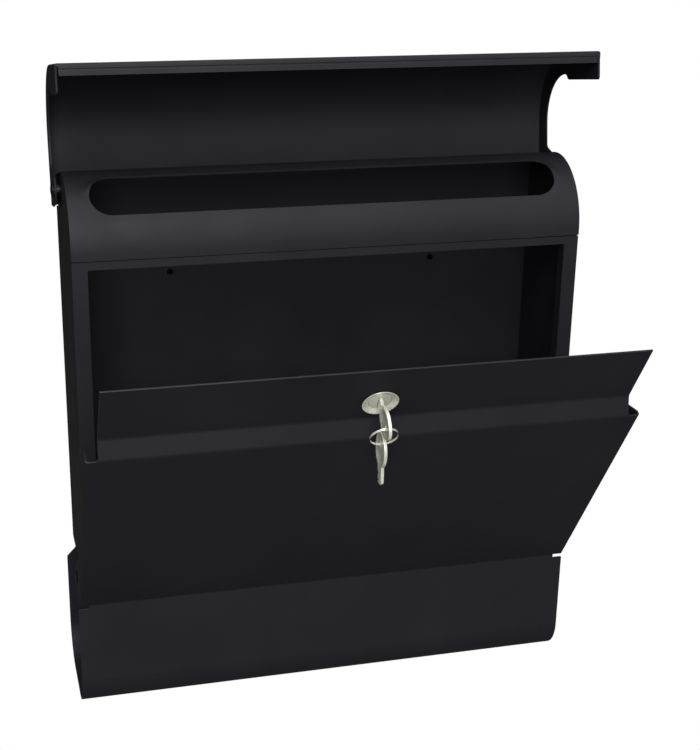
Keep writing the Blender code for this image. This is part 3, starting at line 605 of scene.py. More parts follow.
@dataclass
class Hood:
    """The rounded hood, its letter slot and the pressed lip above the slot."""

    half_width: float = 180.0 * MM
    radius: float = 45.5 * MM
    straight: float = 3.9 * MM
    fall_deg: float = 15.0
    slot_length: float = 330.0 * MM
    slot_height: float = 29.5 * MM
    slot_angle_deg: float = 38.2
    lip_reach: float = 6.0 * MM
    lip_rise: float = 2.7 * MM
    flange: float = 9.0 * MM
    strip_deg: float = 2.0
    end_steps: int = 28
    side_steps: int = 30

    def stadium(self, grow: float) -> list[Pair]:
        """The slot's outline in the flat sheet, grown by a distance."""
        end = self.slot_height / 2.0
        reach = self.slot_length / 2.0 - end
        points = arc((reach, 0.0), end + grow, -90.0, 90.0, self.end_steps)
        step = 2.0 * reach / self.side_steps
        points += [(reach - step * i, end + grow) for i in range(1, self.side_steps)]
        points += arc((-reach, 0.0), end + grow, 90.0, 270.0, self.end_steps)
        points += [(-reach + step * i, -end - grow) for i in range(1, self.side_steps)]
        return points

    def lift(self, x: float, climb: float, grow: float) -> float:
        """Height of the pressed lip over the sheet.

        Args:
            x: place along the slot; not used.
            climb: place across the slot.
            grow: distance from the slot's edge.

        Returns:
            The height in metres.
        """
        share = max(0.0, 1.0 - grow / self.lip_reach)
        swell = share * share * (3.0 - 2.0 * share)
        turn = min(1.0, max(0.0, (climb / (self.slot_height / 2.0 + grow) + 0.05) / 0.75))
        fade = turn * turn * (3.0 - 2.0 * turn)
        return self.lip_rise * swell * fade - 0.35 * MM * (1.0 - fade) * swell

    def wrap(self, point: Vector, centre: Vector, rear_y: float) -> Vector:
        """Bend a point of the flat sheet round the hood.

        Args:
            point: (x, arc length above the slot's middle, height).
            centre: the hood's centre in section.
            rear_y: where the hood meets the rear panel.

        Returns:
            The point in place.
        """
        angle = math.radians(self.slot_angle_deg) - point.y / self.radius
        front = math.pi / 2.0
        back = -math.radians(self.fall_deg)
        reach = self.radius + point.z
        if angle > front:
            drop = (angle - front) * self.radius
            return Vector((point.x, centre.y - reach, centre.z - drop))
        if angle < back:
            run = (back - angle) * self.radius
            y = centre.y + reach * math.sin(-back) + run * math.cos(back)
            z = centre.z + reach * math.cos(back) - run * math.sin(-back)
            return Vector((point.x, min(y, rear_y), z))
        down, up = reach * math.sin(angle), reach * math.cos(angle)
        return Vector((point.x, centre.y - down, centre.z + up))

    def build(self, bench: Bench) -> None:
        """Lay out the flat sheet with the slot, bend it and thicken it."""
        low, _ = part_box("slot_hood")
        front_y = -(STANDOFF + BODY_DEPTH + 0.5 * MM)
        centre = Vector((0.0, front_y + self.radius, low.z + self.straight))
        rear_y = -(STANDOFF + 0.3 * MM)
        middle = math.radians(self.slot_angle_deg)
        bottom = -(math.pi / 2.0 - middle) * self.radius - self.straight
        turn = middle + math.radians(self.fall_deg)
        edge_y = centre.y + self.radius * math.sin(math.radians(self.fall_deg))
        slope = (rear_y - edge_y) / math.cos(math.radians(self.fall_deg))
        top = turn * self.radius + slope
        shape = bmesh.new()
        rings = []
        for grow in (0.0, 0.35, 0.8, 1.4, 2.1, 3.0, 4.0, 5.0, 6.0):
            outline = self.stadium(grow * MM)
            points = [Vector((x, s, self.lift(x, s, grow * MM))) for x, s in outline]
            rings.append(wire(shape, points, True))
        for inner, outer in zip(rings, rings[1:]):
            bmesh.ops.bridge_loops(shape, edges=inner + outer)
        half = self.half_width
        corners = [Vector((-half, bottom, 0.0)), Vector((half, bottom, 0.0))]
        corners += [Vector((half, top, 0.0)), Vector((-half, top, 0.0))]
        frame = wire(shape, corners, True)
        bmesh.ops.triangle_fill(shape, use_beauty=True, use_dissolve=False, edges=rings[-1] + frame)
        count = int(math.degrees((top - bottom) / self.radius) / self.strip_deg)
        for index in range(1, count + 1):
            self.crease(shape, (top - bottom) * index / (count + 1) + bottom)
        for level in (-(math.pi / 2.0 - middle) * self.radius, turn * self.radius):
            self.crease(shape, level)
        for vert in shape.verts:
            vert.co = self.wrap(vert.co.copy(), centre, rear_y)
        bmesh.ops.remove_doubles(shape, verts=shape.verts, dist=0.002 * MM)
        rear = [
            e
            for e in shape.edges
            if e.is_boundary and all(abs(v.co.y - rear_y) < 0.05 * MM for v in e.verts)
        ]
        pull(shape, rear, Vector((0.0, 0.0, -self.flange)), 1.6 * MM)
        face_outwards(shape, centre)
        coat = bench.finishes.painted()
        obj = bench.piece(
            "slot_hood_coated", shape, coat, Body.CASE, ["slot_hood"]
        )
        bench.thicken(obj, SHEET, 0.25 * MM)

    def crease(self, shape: Shape, level: float) -> None:
        """Cut the flat sheet along one line so that it can bend there."""
        bmesh.ops.bisect_plane(
            shape,
            geom=shape.verts[:] + shape.edges[:] + shape.faces[:],
            dist=0.01 * MM,
            plane_co=(0.0, level, 0.0),
            plane_no=(0.0, 1.0, 0.0),
        )


# --- lid ---


@dataclass
class Lid:
    """The curved lid with turned-down cheeks and a hemmed front lip."""

    half_width: float = 187.2 * MM
    shift: float = 3.2 * MM
    tab: float = 4.0 * MM
    ease: float = 7.0 * MM
    front: float = -85.2 * MM
    top: float = 33.5 * MM
    radius: float = 52.0 * MM
    below: float = 78.8 * MM
    rear: float = 12.8 * MM
    cheek: float = 15.5 * MM
    lip: float = 8.0 * MM
    hem: float = 4.0 * MM
    ear: float = 10.5 * MM
    fold: float = 1.5 * MM
    open_deg: float = 100.0

    def profile(self) -> list[Pair]:
        """The closed lid in section about its axis, front edge to rear edge."""
        centre = (self.front + self.radius, self.top - self.radius)
        path = [(self.front, -self.below), (self.front, -self.below / 2.0 - 8.0 * MM)]
        path += arc(centre, self.radius, 180.0, 90.0, 44)
        path.append((self.rear, self.top))
        return path

    def cheek_line(self) -> list[Pair]:
        """The cheek's free edge, from the rear edge round the ear to the front."""
        centre = (self.front + self.radius, self.top - self.radius)
        line = [(self.rear, self.top - self.cheek - 4.0 * MM)]
        line += arc((0.0, 0.0), self.ear, 20.0, -200.0, 28)
        line.append((-self.ear - 4.5 * MM, self.top - self.cheek - 1.6 * MM))
        line.append((-self.ear - 6.5 * MM, self.top - self.cheek))
        line += arc(centre, self.radius - self.cheek, 90.0, 180.0, 32)
        deep = self.front + self.cheek + self.tab
        line.append((self.front + self.cheek + self.tab * 0.2, centre[1] - self.ease * 0.4))
        line.append((self.front + self.cheek + self.tab * 0.8, centre[1] - self.ease * 0.7))
        line.append((deep, centre[1] - self.ease))
        line += arc((deep - 2.4 * MM, -self.below + 3.2 * MM), 2.4 * MM, 0.0, -90.0, 6)
        line.append((self.front + 6.0 * MM, -self.below + 0.8 * MM))
        return line

    def build(self, bench: Bench, axis: Vector) -> None:
        """Fold the sheet and swing it open about its axis."""
        shape = bmesh.new()
        half = self.half_width
        path = self.profile()
        right = wire(shape, [Vector((half, y, z)) for y, z in path], False)
        left = pull(shape, right, Vector((-2.0 * half, 0.0, 0.0)))
        front = [e for e in shape.edges if all(abs(v.co.z + self.below) < 1e-6 for v in e.verts)]
        self.turn_lip(shape, front)
        for side, skin in ((half, right), (-half, left)):
            self.add_cheek(shape, skin, side)
        bmesh.ops.remove_doubles(shape, verts=shape.verts, dist=0.001 * MM)
        face_outwards(shape, Vector((0.0, self.front + self.radius, 0.0)))
        roll_folds(shape, folds_sharper_than(shape, 60.0), self.fold)
        place = Matrix.Translation(axis + Vector((self.shift, 0.0, 0.0)))
        swing = place @ Matrix.Rotation(math.radians(-self.open_deg), 4, "X")
        bmesh.ops.transform(shape, matrix=swing, verts=shape.verts)
        obj = bench.piece(
            "lid_coated", shape, bench.finishes.painted(), Body.LID, ["lid"]
        )
        bench.thicken(obj, SHEET, 0.25 * MM)

    def turn_lip(self, shape: Shape, edges: Sequence[Edge]) -> None:
        """Turn the front edge in, with the line where its hem ends."""
        steps = (
            (2.2 * MM, 0.0, 2.2 * MM),
            (self.hem - 2.8 * MM, 0.0, 0.0),
            (0.4 * MM, 0.5 * MM, 0.0),
            (0.4 * MM, 0.0, 0.0),
            (0.4 * MM, -0.5 * MM, 0.0),
            (self.lip - self.hem - 0.6 * MM, 0.0, 0.0),
        )
        for inward, rise, narrow in steps:
            edges = pull(shape, edges, Vector((0.0, inward, rise)), narrow)

    def add_cheek(
        self, shape: Shape, skin: Sequence[Edge], side: float
    ) -> None:
        """Fill one cheek between the skin's end and its own free edge."""
        line = [Vector((side, y, z)) for y, z in self.cheek_line()]
        free = wire(shape, line, False)
        ends = {vert for edge in skin for vert in edge.verts}
        rear = max(ends, key=lambda v: (round(v.co.y, 6), v.co.z))
        low = min(ends, key=lambda v: (round(v.co.z, 6), v.co.y))
        first = min(free[0].verts, key=lambda v: (v.co - rear.co).length)
        last = min(free[-1].verts, key=lambda v: (v.co - low.co).length)
        joins = [shape.edges.new((rear, first)), shape.edges.new((last, low))]
        bmesh.ops.edgeloop_fill(shape, edges=list(skin) + free + joins)


# --- door ---


@dataclass
class Door:
    """The door: panel, joggle, set-back strip and turned-back cheeks."""

    half_width: float = 186.0 * MM
    strip_half: float = 177.8 * MM
    front: float = -16.5 * MM
    strip: float = -7.0 * MM
    low: float = -14.6 * MM
    panel_top: float = 178.4 * MM
    strip_low: float = 189.1 * MM
    strip_top: float = 240.1 * MM
    cheek: float = 15.0 * MM
    slant: float = 9.0 * MM
    ear: float = 9.5 * MM
    fold: float = 1.5 * MM
    open_deg: float = 34.0

    def swing(self, axis: Vector) -> Matrix:
        """Where the open door's own frame lies."""
        return Matrix.Translation(axis) @ Matrix.Rotation(math.radians(self.open_deg), 4, "X")

    def cheek_line(self) -> list[Pair]:
        """The cheek's free edge, from the panel's top round the ear to its foot."""
        back = self.front + self.cheek
        line = [(self.front + 3.5 * MM, self.panel_top), (back, self.panel_top - self.slant)]
        line.append((back, 30.0 * MM))
        line += arc((0.0, 0.0), self.ear, 30.0, -80.0, 22)
        line.append((0.0, self.low))
        return line

    def build(self, bench: Bench, axis: Vector) -> None:
        """Fold the sheet and lean it open about its axis."""
        shape = bmesh.new()
        half, inner = self.half_width, self.strip_half
        row = [Vector((x, self.front, self.low)) for x in (-half, -inner, inner, half)]
        foot = wire(shape, row, False)
        head = pull(shape, foot, Vector((0.0, 0.0, self.panel_top - self.low)))
        centre = [min(head, key=lambda e: abs(e.verts[0].co.x + e.verts[1].co.x))]
        step = Vector((0.0, self.strip - self.front, self.strip_low - self.panel_top))
        ledge = pull(shape, centre, step)
        pull(shape, ledge, Vector((0.0, 0.0, self.strip_top - self.strip_low)))
        for side in (-half, half):
            self.add_cheek(shape, side)
        bmesh.ops.remove_doubles(shape, verts=shape.verts, dist=0.001 * MM)
        face_outwards(shape, Vector((0.0, 0.0, 0.0)))
        roll_folds(shape, folds_sharper_than(shape, 30.0), self.fold)
        bmesh.ops.transform(shape, matrix=self.swing(axis), verts=shape.verts)
        obj = bench.piece(
            "door_coated", shape, bench.finishes.painted(), Body.DOOR, ["door"]
        )
        bench.thicken(obj, SHEET, 0.25 * MM)

    def add_cheek(self, shape: Shape, side: float) -> None:
        """Fill one cheek between the panel's side and its own free edge."""
        near = [
            v
            for v in shape.verts
            if abs(v.co.x - side) < 1e-6 and abs(v.co.y - self.front) < 1e-6
        ]
        low = min(near, key=lambda v: v.co.z)
        high = max(near, key=lambda v: v.co.z)
        spine = [e for e in shape.edges if set(e.verts) == {low, high}]
        free = wire(shape, [Vector((side, y, z)) for y, z in self.cheek_line()], False)
        first = min(free[0].verts, key=lambda v: (v.co - high.co).length)
        last = min(free[-1].verts, key=lambda v: (v.co - low.co).length)
        joins = [shape.edges.new((high, first)), shape.edges.new((last, low))]
        bmesh.ops.edgeloop_fill(shape, edges=spine + free + joins)


# --- turned hardware ---


def turned(profile: Sequence[Pair], steps: int) -> Shape:
    """A solid turned about X.

    Args:
        profile: (x, radius) points, starting and ending on the axis.
        steps: faces round the axis.

    Returns:
        The closed mesh.
    """
    shape = bmesh.new()
    edges = wire(shape, [Vector((x, 0.0, r)) for x, r in profile], False)
    verts = list({vert for edge in edges for vert in edge.verts})
    bmesh.ops.spin(
        shape,
        geom=verts + edges,
        cent=(0.0, 0.0, 0.0),
        axis=(1.0, 0.0, 0.0),
        angle=2.0 * math.pi,
        steps=steps,
        use_merge=True,
    )
    bmesh.ops.remove_doubles(shape, verts=shape.verts, dist=0.001 * MM)
    bmesh.ops.recalc_face_normals(shape, faces=shape.faces)
    return shape


@dataclass
class PivotPins:
    """The four shoulder pins that the lid and the door turn on."""

    head_radius: float = 5.2 * MM
    lid_head: float = 2.2 * MM
    door_head: float = 0.9 * MM
    shoulder: float = 1.5 * MM
    foot: float = 1.6 * MM

    def build(
        self, bench: Bench, lid: Lid, door: Door, lid_axis: Vector, door_axis: Vector
    ) -> None:
        """Build the pins of the lid and the door on both sides."""
        rows = (
            ("lid", lid.half_width, lid.shift, 3.0 * MM, self.lid_head, lid_axis),
            ("door", door.half_width, 0.0, 2.5 * MM, self.door_head, door_axis),
        )
        for part, half, shift, radius, head, axis in rows:
            for side, sign in (("left", -1.0), ("right", 1.0)):
                name = f"{part}_pin_{side}"
                cheek = half + sign * shift
                shape = turned([(sign * x, r) for x, r in self.profile(cheek, radius, head)], 48)
                bmesh.ops.translate(shape, verts=shape.verts, vec=axis)
                materials = [bench.finishes.pin]
                bench.piece(name + "_turned", shape, materials, Body.CASE, [name])

    def profile(self, cheek: float, radius: float, head: float) -> list[Pair]:
        """One pin in section, from its foot in the body to its domed head."""
        gap = 0.3 * MM
        body_in = 179.6 * MM - SHEET - gap
        body_out = 180.0 * MM + gap
        neck = cheek - SHEET - gap
        under = cheek + gap
        dome = [
            (under + 0.2 * MM + head * math.sin(a) * 0.86, self.head_radius * math.cos(a) ** 0.8)
            for a in [math.radians(8.0 * i) for i in range(11)]
        ]
        return [
            (body_in - self.foot, 0.0),
            (body_in - self.foot, radius - 0.3 * MM),
            (body_in - self.foot + 0.3 * MM, radius),
            (body_out, radius),
            (body_out, radius + self.shoulder - 0.2 * MM),
            (body_out + 0.2 * MM, radius + self.shoulder),
            (neck - 0.2 * MM, radius + self.shoulder),
            (neck, radius + self.shoulder - 0.2 * MM),
            (neck, radius),
            (under, radius),
            (under, self.head_radius - 0.15 * MM),
            *dome,
            (under + 0.2 * MM + head * 0.86, 0.0),
        ]


@dataclass
class CamLock:
    """The barrel with its dished flange, the plug, the nut, the cam and its screw."""

    flange: float = 12.1 * MM
    height: float = 1.9 * MM
    barrel: float = 9.5 * MM
    length: float = 13.0 * MM
    plug: float = 7.6 * MM
    plug_tail: float = 5.8 * MM
    sunk: float = 0.35 * MM
    keyway_height: float = 7.8 * MM
    keyway_width: float = 3.0 * MM
    keyway_depth: float = 13.6 * MM
    rim: float = 2.2 * MM
    step: float = 1.6 * MM
    gap: float = 0.3 * MM

    def build(self, bench: Bench, place: Matrix) -> None:
        """Build the flange and the plug face; soften the hidden hardware."""
        gap = self.gap
        side = self.plug + 0.2 * MM
        step = self.sunk - self.step - 0.2 * MM
        flange = [
            (-self.length, self.plug_tail + gap),
            (-self.length, self.barrel - 0.4 * MM),
            (-self.length + 0.4 * MM, self.barrel),
            (gap, self.barrel),
            (gap, self.flange - 1.5 * MM),
            (gap + 0.2 * MM, self.flange - 1.3 * MM),
            (self.height - 0.5 * MM, self.flange - 0.12 * MM),
            (self.height - 0.3 * MM, self.flange),
            (self.height - 0.1 * MM, self.flange - 0.06 * MM),
            (self.height, self.flange - 0.25 * MM),
            (self.height - 0.06 * MM, self.flange - 0.5 * MM),
            (self.sunk + 0.25 * MM, self.plug + 0.55 * MM),
            (self.sunk + 0.05 * MM, self.plug + 0.35 * MM),
            (self.sunk, side),
            (step, side),
            (step, self.plug_tail + gap),
            (-self.length, self.plug_tail + gap),
        ]
        nickel = [bench.finishes.nickel]
        case = turned(flange, 96)
        bmesh.ops.transform(case, matrix=place, verts=case.verts)
        bench.piece("lock_case_turned", case, nickel, Body.DOOR, ["lock_case"], 42.0)
        plug = self.plug_shape()
        bmesh.ops.transform(plug, matrix=place, verts=plug.verts)
        worn = [bench.finishes.worn]
        bench.piece("lock_plug_turned", plug, worn, Body.PLUG, ["lock_plug"], 38.0)
        hidden = {"lock_nut": Body.DOOR, "lock_cam": Body.PLUG, "cam_screw": Body.PLUG}
        for node, body in hidden.items():
            obj = bench.softened(node, body, 0.2 * MM)
            obj.data.materials.clear()
            obj.data.materials.append(bench.finishes.zinc)
            obj.modifiers[-1].material = -1

    def plug_shape(self) -> Shape:
        """The plug: a disc face with the keyway sunk into it, and its tail."""
        face = self.sunk
        profile = [
            (-self.length - 0.3 * MM, 0.0),
            (-self.length - 0.3 * MM, self.plug_tail),
            (face - self.step, self.plug_tail),
            (face - self.step, self.plug),
            (face - 0.3 * MM, self.plug),
            (face, self.plug - 0.3 * MM),
            (face, 0.0),
        ]
        shape = turned(profile, 72)
        centre = [v for v in shape.verts if (v.co - Vector((face, 0.0, 0.0))).length < 1e-5]
        disc = list({f for v in centre for f in v.link_faces})
        joined = bmesh.ops.dissolve_faces(shape, faces=disc)["region"]
        bmesh.ops.inset_region(shape, faces=joined, thickness=self.rim, depth=0.0)
        ring = [v for f in joined if f.is_valid for v in f.verts]
        across, tall = self.keyway_width / 2.0, self.keyway_height / 2.0
        for vert in set(ring):
            y, z = vert.co.y, vert.co.z
            scale = max(abs(y) / across, abs(z) / tall, 1e-6)
            vert.co.y = y / scale
            vert.co.z = z / scale
        inner = [f for f in joined if f.is_valid]
        sunk = bmesh.ops.extrude_face_region(shape, geom=inner)["geom"]
        bmesh.ops.delete(shape, geom=inner, context="FACES_ONLY")
        moved = [item for item in sunk if isinstance(item, bmesh.types.BMVert)]
        bmesh.ops.translate(shape, verts=moved, vec=(-self.keyway_depth, 0.0, 0.0))
        bmesh.ops.recalc_face_normals(shape, faces=shape.faces)
        return shape


# --- keys ---


@dataclass
class Key:
    """A flat key with an oval bow, a sunk panel on each face, a hole and a cut blade."""

    thickness: float = 2.2 * MM
    bow_length: float = 24.0 * MM
    bow_height: float = 18.0 * MM
    blade_height: float = 7.0 * MM
    blade_length: float = 13.0 * MM
    blade_shown: float = 4.2 * MM
    hole: float = 1.8 * MM
    hole_from_tip: float = 8.0 * MM
    cuts: tuple[float, ...] = (1.8 * MM, 0.8 * MM, 1.4 * MM)

    def neck(self) -> float:
        """Where the blade leaves the bow, from the hole's centre along the key."""
        angle = math.asin(self.blade_height / self.bow_height)
        return self.hole_from_tip - self.bow_length / 2.0 - self.bow_length / 2.0 * math.cos(angle)

    def outline(self) -> list[Pair]:
        """The key's outline about its hole, bow towards +X and blade towards -X."""
        bow, high, blade = self.bow_length / 2.0, self.bow_height / 2.0, self.blade_height / 2.0
        centre = self.hole_from_tip - bow
        lean = math.asin(blade / high)
        points = []
        for index in range(65):
            angle = -math.pi + lean + (2.0 * math.pi - 2.0 * lean) * index / 64
            points.append((centre + bow * math.cos(angle), high * math.sin(angle)))
        start = self.neck()
        tip = start - self.blade_length
        points += [(tip + 2.0 * MM, blade), (tip, blade - 2.0 * MM), (tip, -blade + 3.0 * MM)]
        pitch = (self.blade_length - self.blade_shown - 2.0 * MM) / len(self.cuts)
        for index, depth in enumerate(self.cuts):
            x = tip + 1.4 * MM + index * pitch
            points += [(x, -blade + 0.2 * MM), (x + 0.35 * pitch, -blade + depth)]
            points.append((x + 0.65 * pitch, -blade + depth))
        points.append((start - self.blade_shown, -blade))
        return points

    def shape(self) -> Shape:
        """One key in its own plane, the hole's centre at the origin, thickness along Y."""
        shape = bmesh.new()
        half = self.thickness / 2.0
        sunk = half - 0.3 * MM
        centre = self.hole_from_tip - self.bow_length / 2.0
        rim = 2.2 * MM
        oval = [
            (centre + (self.bow_length / 2.0 - rim) * x, (self.bow_height / 2.0 - rim) * z)
            for x, z in arc((0.0, 0.0), 1.0, 0.0, 352.5, 47)
        ]
        small = 0.93
        inner = [(centre + (x - centre) * small, z * small) for x, z in oval]
        hole = arc((0.0, 0.0), self.hole, 0.0, 345.0, 23)
        outer = wire(shape, [Vector((x, -half, z)) for x, z in self.outline()], True)
        brim = wire(shape, [Vector((x, -half, z)) for x, z in oval], True)
        panel = wire(shape, [Vector((x, -sunk, z)) for x, z in inner], True)
        eye = wire(shape, [Vector((x, -sunk, z)) for x, z in hole], True)
        bmesh.ops.triangle_fill(shape, use_beauty=True, use_dissolve=False, edges=outer + brim)
        bmesh.ops.bridge_loops(shape, edges=brim + panel)
        bmesh.ops.triangle_fill(shape, use_beauty=True, use_dissolve=False, edges=panel + eye)
        for edges, depth in ((outer, half), (eye, sunk)):
            pull(shape, edges, Vector((0.0, depth, 0.0)))
        both = shape.verts[:] + shape.edges[:] + shape.faces[:]
        bmesh.ops.mirror(shape, geom=both, axis="Y", merge_dist=0.001 * MM)
        bmesh.ops.remove_doubles(shape, verts=shape.verts, dist=0.002 * MM)
        bmesh.ops.recalc_face_normals(shape, faces=shape.faces)
        return shape

    def build(self, bench: Bench, name: str, body: Body, place: Matrix) -> None:
        """Cut one key and set it in place."""
        shape = self.shape()
        bmesh.ops.transform(shape, matrix=place, verts=shape.verts)
        if place.determinant() < 0.0:
            bmesh.ops.reverse_faces(shape, faces=shape.faces)
        nickel = [bench.finishes.nickel]
        obj = bench.piece(name + "_cut", shape, nickel, body, [name], 30.0)
        bench.break_edges(obj, 0.35 * MM, 3)


@dataclass
class SplitRing:
    """The split ring: two turns of flat-laid wire."""

    radius: float = 9.2 * MM
    wire_radius: float = 0.52 * MM
    rise: float = 1.02 * MM
    drop: float = 1.1 * MM
    steps: int = 160

    def build(self, bench: Bench, place: Matrix) -> None:
        """Wind the wire twice round and close its ends."""
        shape = bmesh.new()
        turn = Matrix.Rotation(math.pi / 2.0, 4, "X")
        start = Matrix.Translation((-self.rise / 2.0, self.radius, 0.0))
        ring = bmesh.ops.create_circle(shape, cap_ends=True, radius=self.wire_radius, segments=14)
        tilt = Matrix.Rotation(math.pi / 2.0, 4, "Y")
        bmesh.ops.transform(shape, matrix=start @ turn @ tilt @ tilt, verts=ring["verts"])
        bmesh.ops.spin(
            shape,
            geom=shape.verts[:] + shape.edges[:] + shape.faces[:],
            cent=(0.0, 0.0, 0.0),
            axis=(1.0, 0.0, 0.0),
            dvec=(self.rise / self.steps, 0.0, 0.0),
            angle=math.radians(712.0),
            steps=self.steps,
            use_duplicate=False,
        )
        bmesh.ops.remove_doubles(shape, verts=shape.verts, dist=0.0005 * MM)
        bmesh.ops.translate(shape, verts=shape.verts, vec=(0.0, 0.0, -self.radius - self.drop))
        bmesh.ops.recalc_face_normals(shape, faces=shape.faces)
        bmesh.ops.transform(shape, matrix=place, verts=shape.verts)
        nickel = [bench.finishes.nickel]
        bench.piece("key_ring_wound", shape, nickel, Body.RING, ["key_ring"], 50.0)


# --- studio ---


@dataclass
class Studio:
    """A pale floor, a soft sky brighter above than below, softboxes and the camera."""

    floor_drop: float = 0.42
    eye: tuple[float, float, float] = (-0.2565, -1.0897, 0.2897)
    azimuth_deg: float = 15.40
    down_deg: float = 20.91
    roll_deg: float = 1.24
    lens: float = 72.96
    sensor: float = 36.0

    def build(self) -> None:
        """Set the stage round the mailbox."""
        self.sky()
        self.floor()
        self.softbox("front_softbox", (-0.45, -2.3, 1.45), (0.0, -0.1, -0.05), 1.5, 58.0)
        self.softbox("low_softbox", (-0.35, -2.3, 0.15), (0.0, -0.1, -0.05), 1.2, 15.0)
        self.softbox("top_softbox", (0.0, -0.45, 2.2), (0.0, -0.1, 0.0), 1.3, 30.0)
        self.camera()

    def by_ray(self, tree: Tree, light: bpy.types.Node, seen: bpy.types.Node) -> Socket:
        """Mix two shaders, one for light and one for the eye.

        Args:
            tree: the node tree.
            light: the shader that lights the mailbox.
            seen: the shader that the camera sees.

        Returns:
            The mixed shader.
        """
        mix = add_node(tree, "ShaderNodeMixShader")
        path = add_node(tree, "ShaderNodeLightPath")
        tree.links.new(path.outputs["Is Camera Ray"], mix.inputs[0])
        tree.links.new(light.outputs[0], mix.inputs[1])
        tree.links.new(seen.outputs[0], mix.inputs[2])
        return mix.outputs[0]

    def sky(self) -> None:
        """White to the eye; as light, strongest from above and in front."""
        world = bpy.data.worlds.new("studio_sky")
        bpy.context.scene.world = world
        world.use_nodes = True
        tree = world.node_tree
        tree.nodes.clear()
        split = add_node(tree, "ShaderNodeSeparateXYZ")
        tree.links.new(add_node(tree, "ShaderNodeTexCoord").outputs["Generated"], split.inputs[0])
        rows = ((2, -0.5, 0.9, 0.08, 0.42), (1, -0.6, 0.5, 1.0, 0.10))
        parts = []
        for output, low, high, first, last in rows:
            ramp = add_node(tree, "ShaderNodeMapRange", interpolation_type="SMOOTHSTEP")
            limits = {"From Min": low, "From Max": high, "To Min": first, "To Max": last}
            for socket, value in limits.items():
                ramp.inputs[socket].default_value = value
            tree.links.new(split.outputs[output], ramp.inputs["Value"])
            parts.append(ramp.outputs[0])
        product = add_node(tree, "ShaderNodeMath", operation="MULTIPLY")
        for socket, part in zip(product.inputs, parts):
            tree.links.new(part, socket)
        light = add_node(tree, "ShaderNodeBackground")
        tree.links.new(product.outputs[0], light.inputs["Strength"])
        seen = add_node(tree, "ShaderNodeBackground")
        shown = self.by_ray(tree, light, seen)
        tree.links.new(shown, add_node(tree, "ShaderNodeOutputWorld").inputs[0])
        for background in (light, seen):
            background.inputs["Color"].default_value = (1.0, 1.0, 1.0, 1.0)
        seen.inputs["Strength"].default_value = 1.0

    def floor(self) -> None:
        """A wide pale floor well under the mailbox."""
        low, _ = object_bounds()
        shape = bmesh.new()
        bmesh.ops.create_grid(shape, x_segments=1, y_segments=1, size=6.0)
        bmesh.ops.translate(shape, verts=shape.verts, vec=(0.0, 0.0, low[2] - self.floor_drop))
        mesh = bpy.data.meshes.new("pale_floor")
        shape.to_mesh(mesh)
        shape.free()
        floor = bpy.data.objects.new("pale_floor", mesh)
        bpy.context.scene.collection.objects.link(floor)
        material, shader, coords = blank_material("pale_floor")
        tree = material.node_tree
        tone = spread(tree, noise(tree, coords, 3.0, 2.0, 0.5), 0.0, 1.0)
        colour = blend_colours(tree, tone, (0.13, 0.125, 0.12), (0.14, 0.135, 0.13))
        tree.links.new(colour, shader.inputs["Base Color"])
        shader.inputs["Roughness"].default_value = 0.9
        seen = add_node(tree, "ShaderNodeEmission")
        shown = self.by_ray(tree, shader, seen)
        tree.links.new(shown, tree.nodes["Material Output"].inputs["Surface"])
        mesh.materials.append(material)
        floor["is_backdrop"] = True

    def softbox(
        self,
        name: str,
        place: tuple[float, float, float],
        aim: tuple[float, float, float],
        size: float,
        power: float,
    ) -> None:
        """Hang one square softbox.

        Args:
            name: its name.
            place: where it hangs.
            aim: the point it faces.
            size: its side in metres.
            power: in watts.
        """
        data = bpy.data.lights.new(name, "AREA")
        data.shape = "SQUARE"
        data.size = size
        data.energy = power
        lamp = bpy.data.objects.new(name, data)
        bpy.context.scene.collection.objects.link(lamp)
        lamp.location = place
        lamp.rotation_euler = (Vector(aim) - Vector(place)).to_track_quat("-Z", "Y").to_euler()

    def camera(self) -> None:
        """A camera in front, left of the middle and above, looking down."""
        turn = math.radians(self.azimuth_deg)
        dip = math.radians(self.down_deg)
        ahead = Vector(
            (math.sin(turn) * math.cos(dip), math.cos(turn) * math.cos(dip), -math.sin(dip))
        )
        across = Vector((math.cos(turn), -math.sin(turn), 0.0))
        up = across.cross(ahead)
        roll = math.radians(self.roll_deg)
        right = across * math.cos(roll) + up * math.sin(roll)
        above = up * math.cos(roll) - across * math.sin(roll)
        data = bpy.data.cameras.new("viewer")
        data.sensor_fit = "VERTICAL"
        data.sensor_height = self.sensor
        data.lens = self.lens
        camera = bpy.data.objects.new("viewer", data)
        bpy.context.scene.collection.objects.link(camera)
        basis = Matrix((right, above, -ahead)).transposed().to_4x4()
        camera.matrix_world = Matrix.Translation(Vector(self.eye)) @ basis
        bpy.context.scene.camera = camera
        bpy.context.scene.view_settings.view_transform = "Standard"


# --- assembly ---


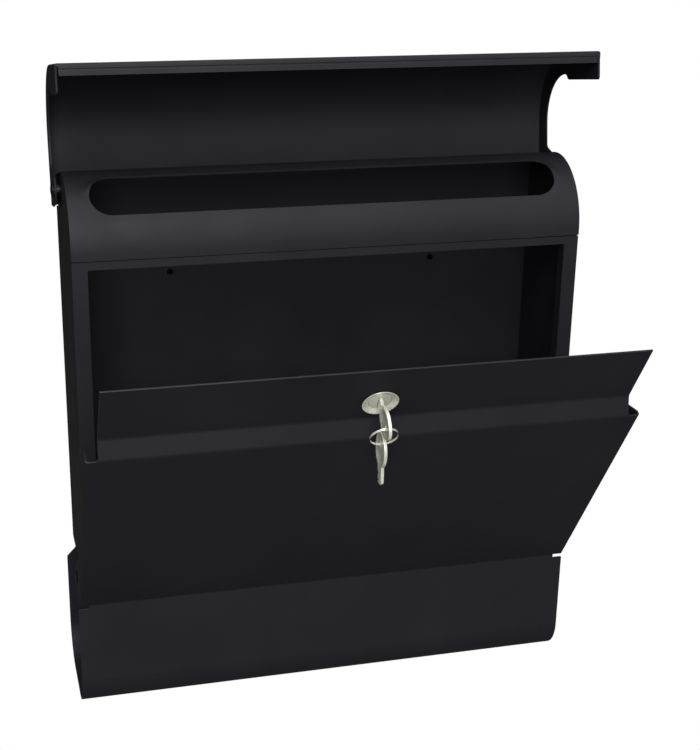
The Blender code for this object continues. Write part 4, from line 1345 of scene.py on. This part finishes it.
@dataclass
class LockPlace:
    """Where the lock and the keys sit, worked out from the joints."""

    joints: dict[str, dict[str, Any]]
    open_deg: float
    ring_hang_deg: float = 3.0
    spare_turn_deg: float = 182.5

    def lock(self) -> Matrix:
        """The lock's frame: X looks out of the strip."""
        swing = Matrix.Rotation(math.radians(self.open_deg), 4, "X")
        outward = Matrix.Rotation(-math.pi / 2.0, 4, "Z")
        return Matrix.Translation(self.point("plug_turn")) @ swing @ outward

    def key_in_lock(self) -> Matrix:
        """The key's frame at its hole, in the lock."""
        along = (self.point("key_slide") - self.point("plug_turn")).length
        return self.lock() @ Matrix.Translation((along, 0.0, 0.0))

    def ring(self) -> Matrix:
        """The ring's frame at the key's hole."""
        return self.key_in_lock() @ Matrix.Rotation(math.radians(self.ring_hang_deg), 4, "Y")

    def spare(self) -> Matrix:
        """The spare key's frame, hanging straight down."""
        upright = Matrix.Rotation(-math.pi / 2.0, 4, "Z") @ Matrix.Rotation(-math.pi / 2.0, 4, "Y")
        turn = Matrix.Rotation(math.radians(self.spare_turn_deg), 4, "Z")
        return Matrix.Translation(self.point("spare_key_swing")) @ turn @ upright

    def point(self, joint: str) -> Vector:
        """A joint's place in the frame."""
        return Vector(self.joints[joint]["pos_m"])


def main() -> None:
    """Load the frame and build each sub-assembly round it."""
    logging.basicConfig(level=logging.INFO, format="%(message)s")
    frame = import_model()
    joints = {joint["name"]: joint for joint in frame["joints"]}
    bench = Bench(Finishes(), frame["nodes"])
    lid_axis = Vector(joints["lid_hinge"]["pos_m"])
    door_axis = Vector(joints["door_hinge"]["pos_m"])
    lid, door, key = Lid(), Door(), Key()
    Case().build(bench)
    Hood().build(bench)
    lid.build(bench, lid_axis)
    door.build(bench, door_axis)
    PivotPins().build(bench, lid, door, lid_axis, door_axis)
    place = LockPlace(joints, door.open_deg)
    CamLock().build(bench, place.lock())
    key.build(bench, "key", Body.KEY, place.key_in_lock())
    key.build(bench, "spare_key", Body.SPARE, place.spare())
    SplitRing().build(bench, place.ring())
    Studio().build()


if __name__ == "__main__":
    main()
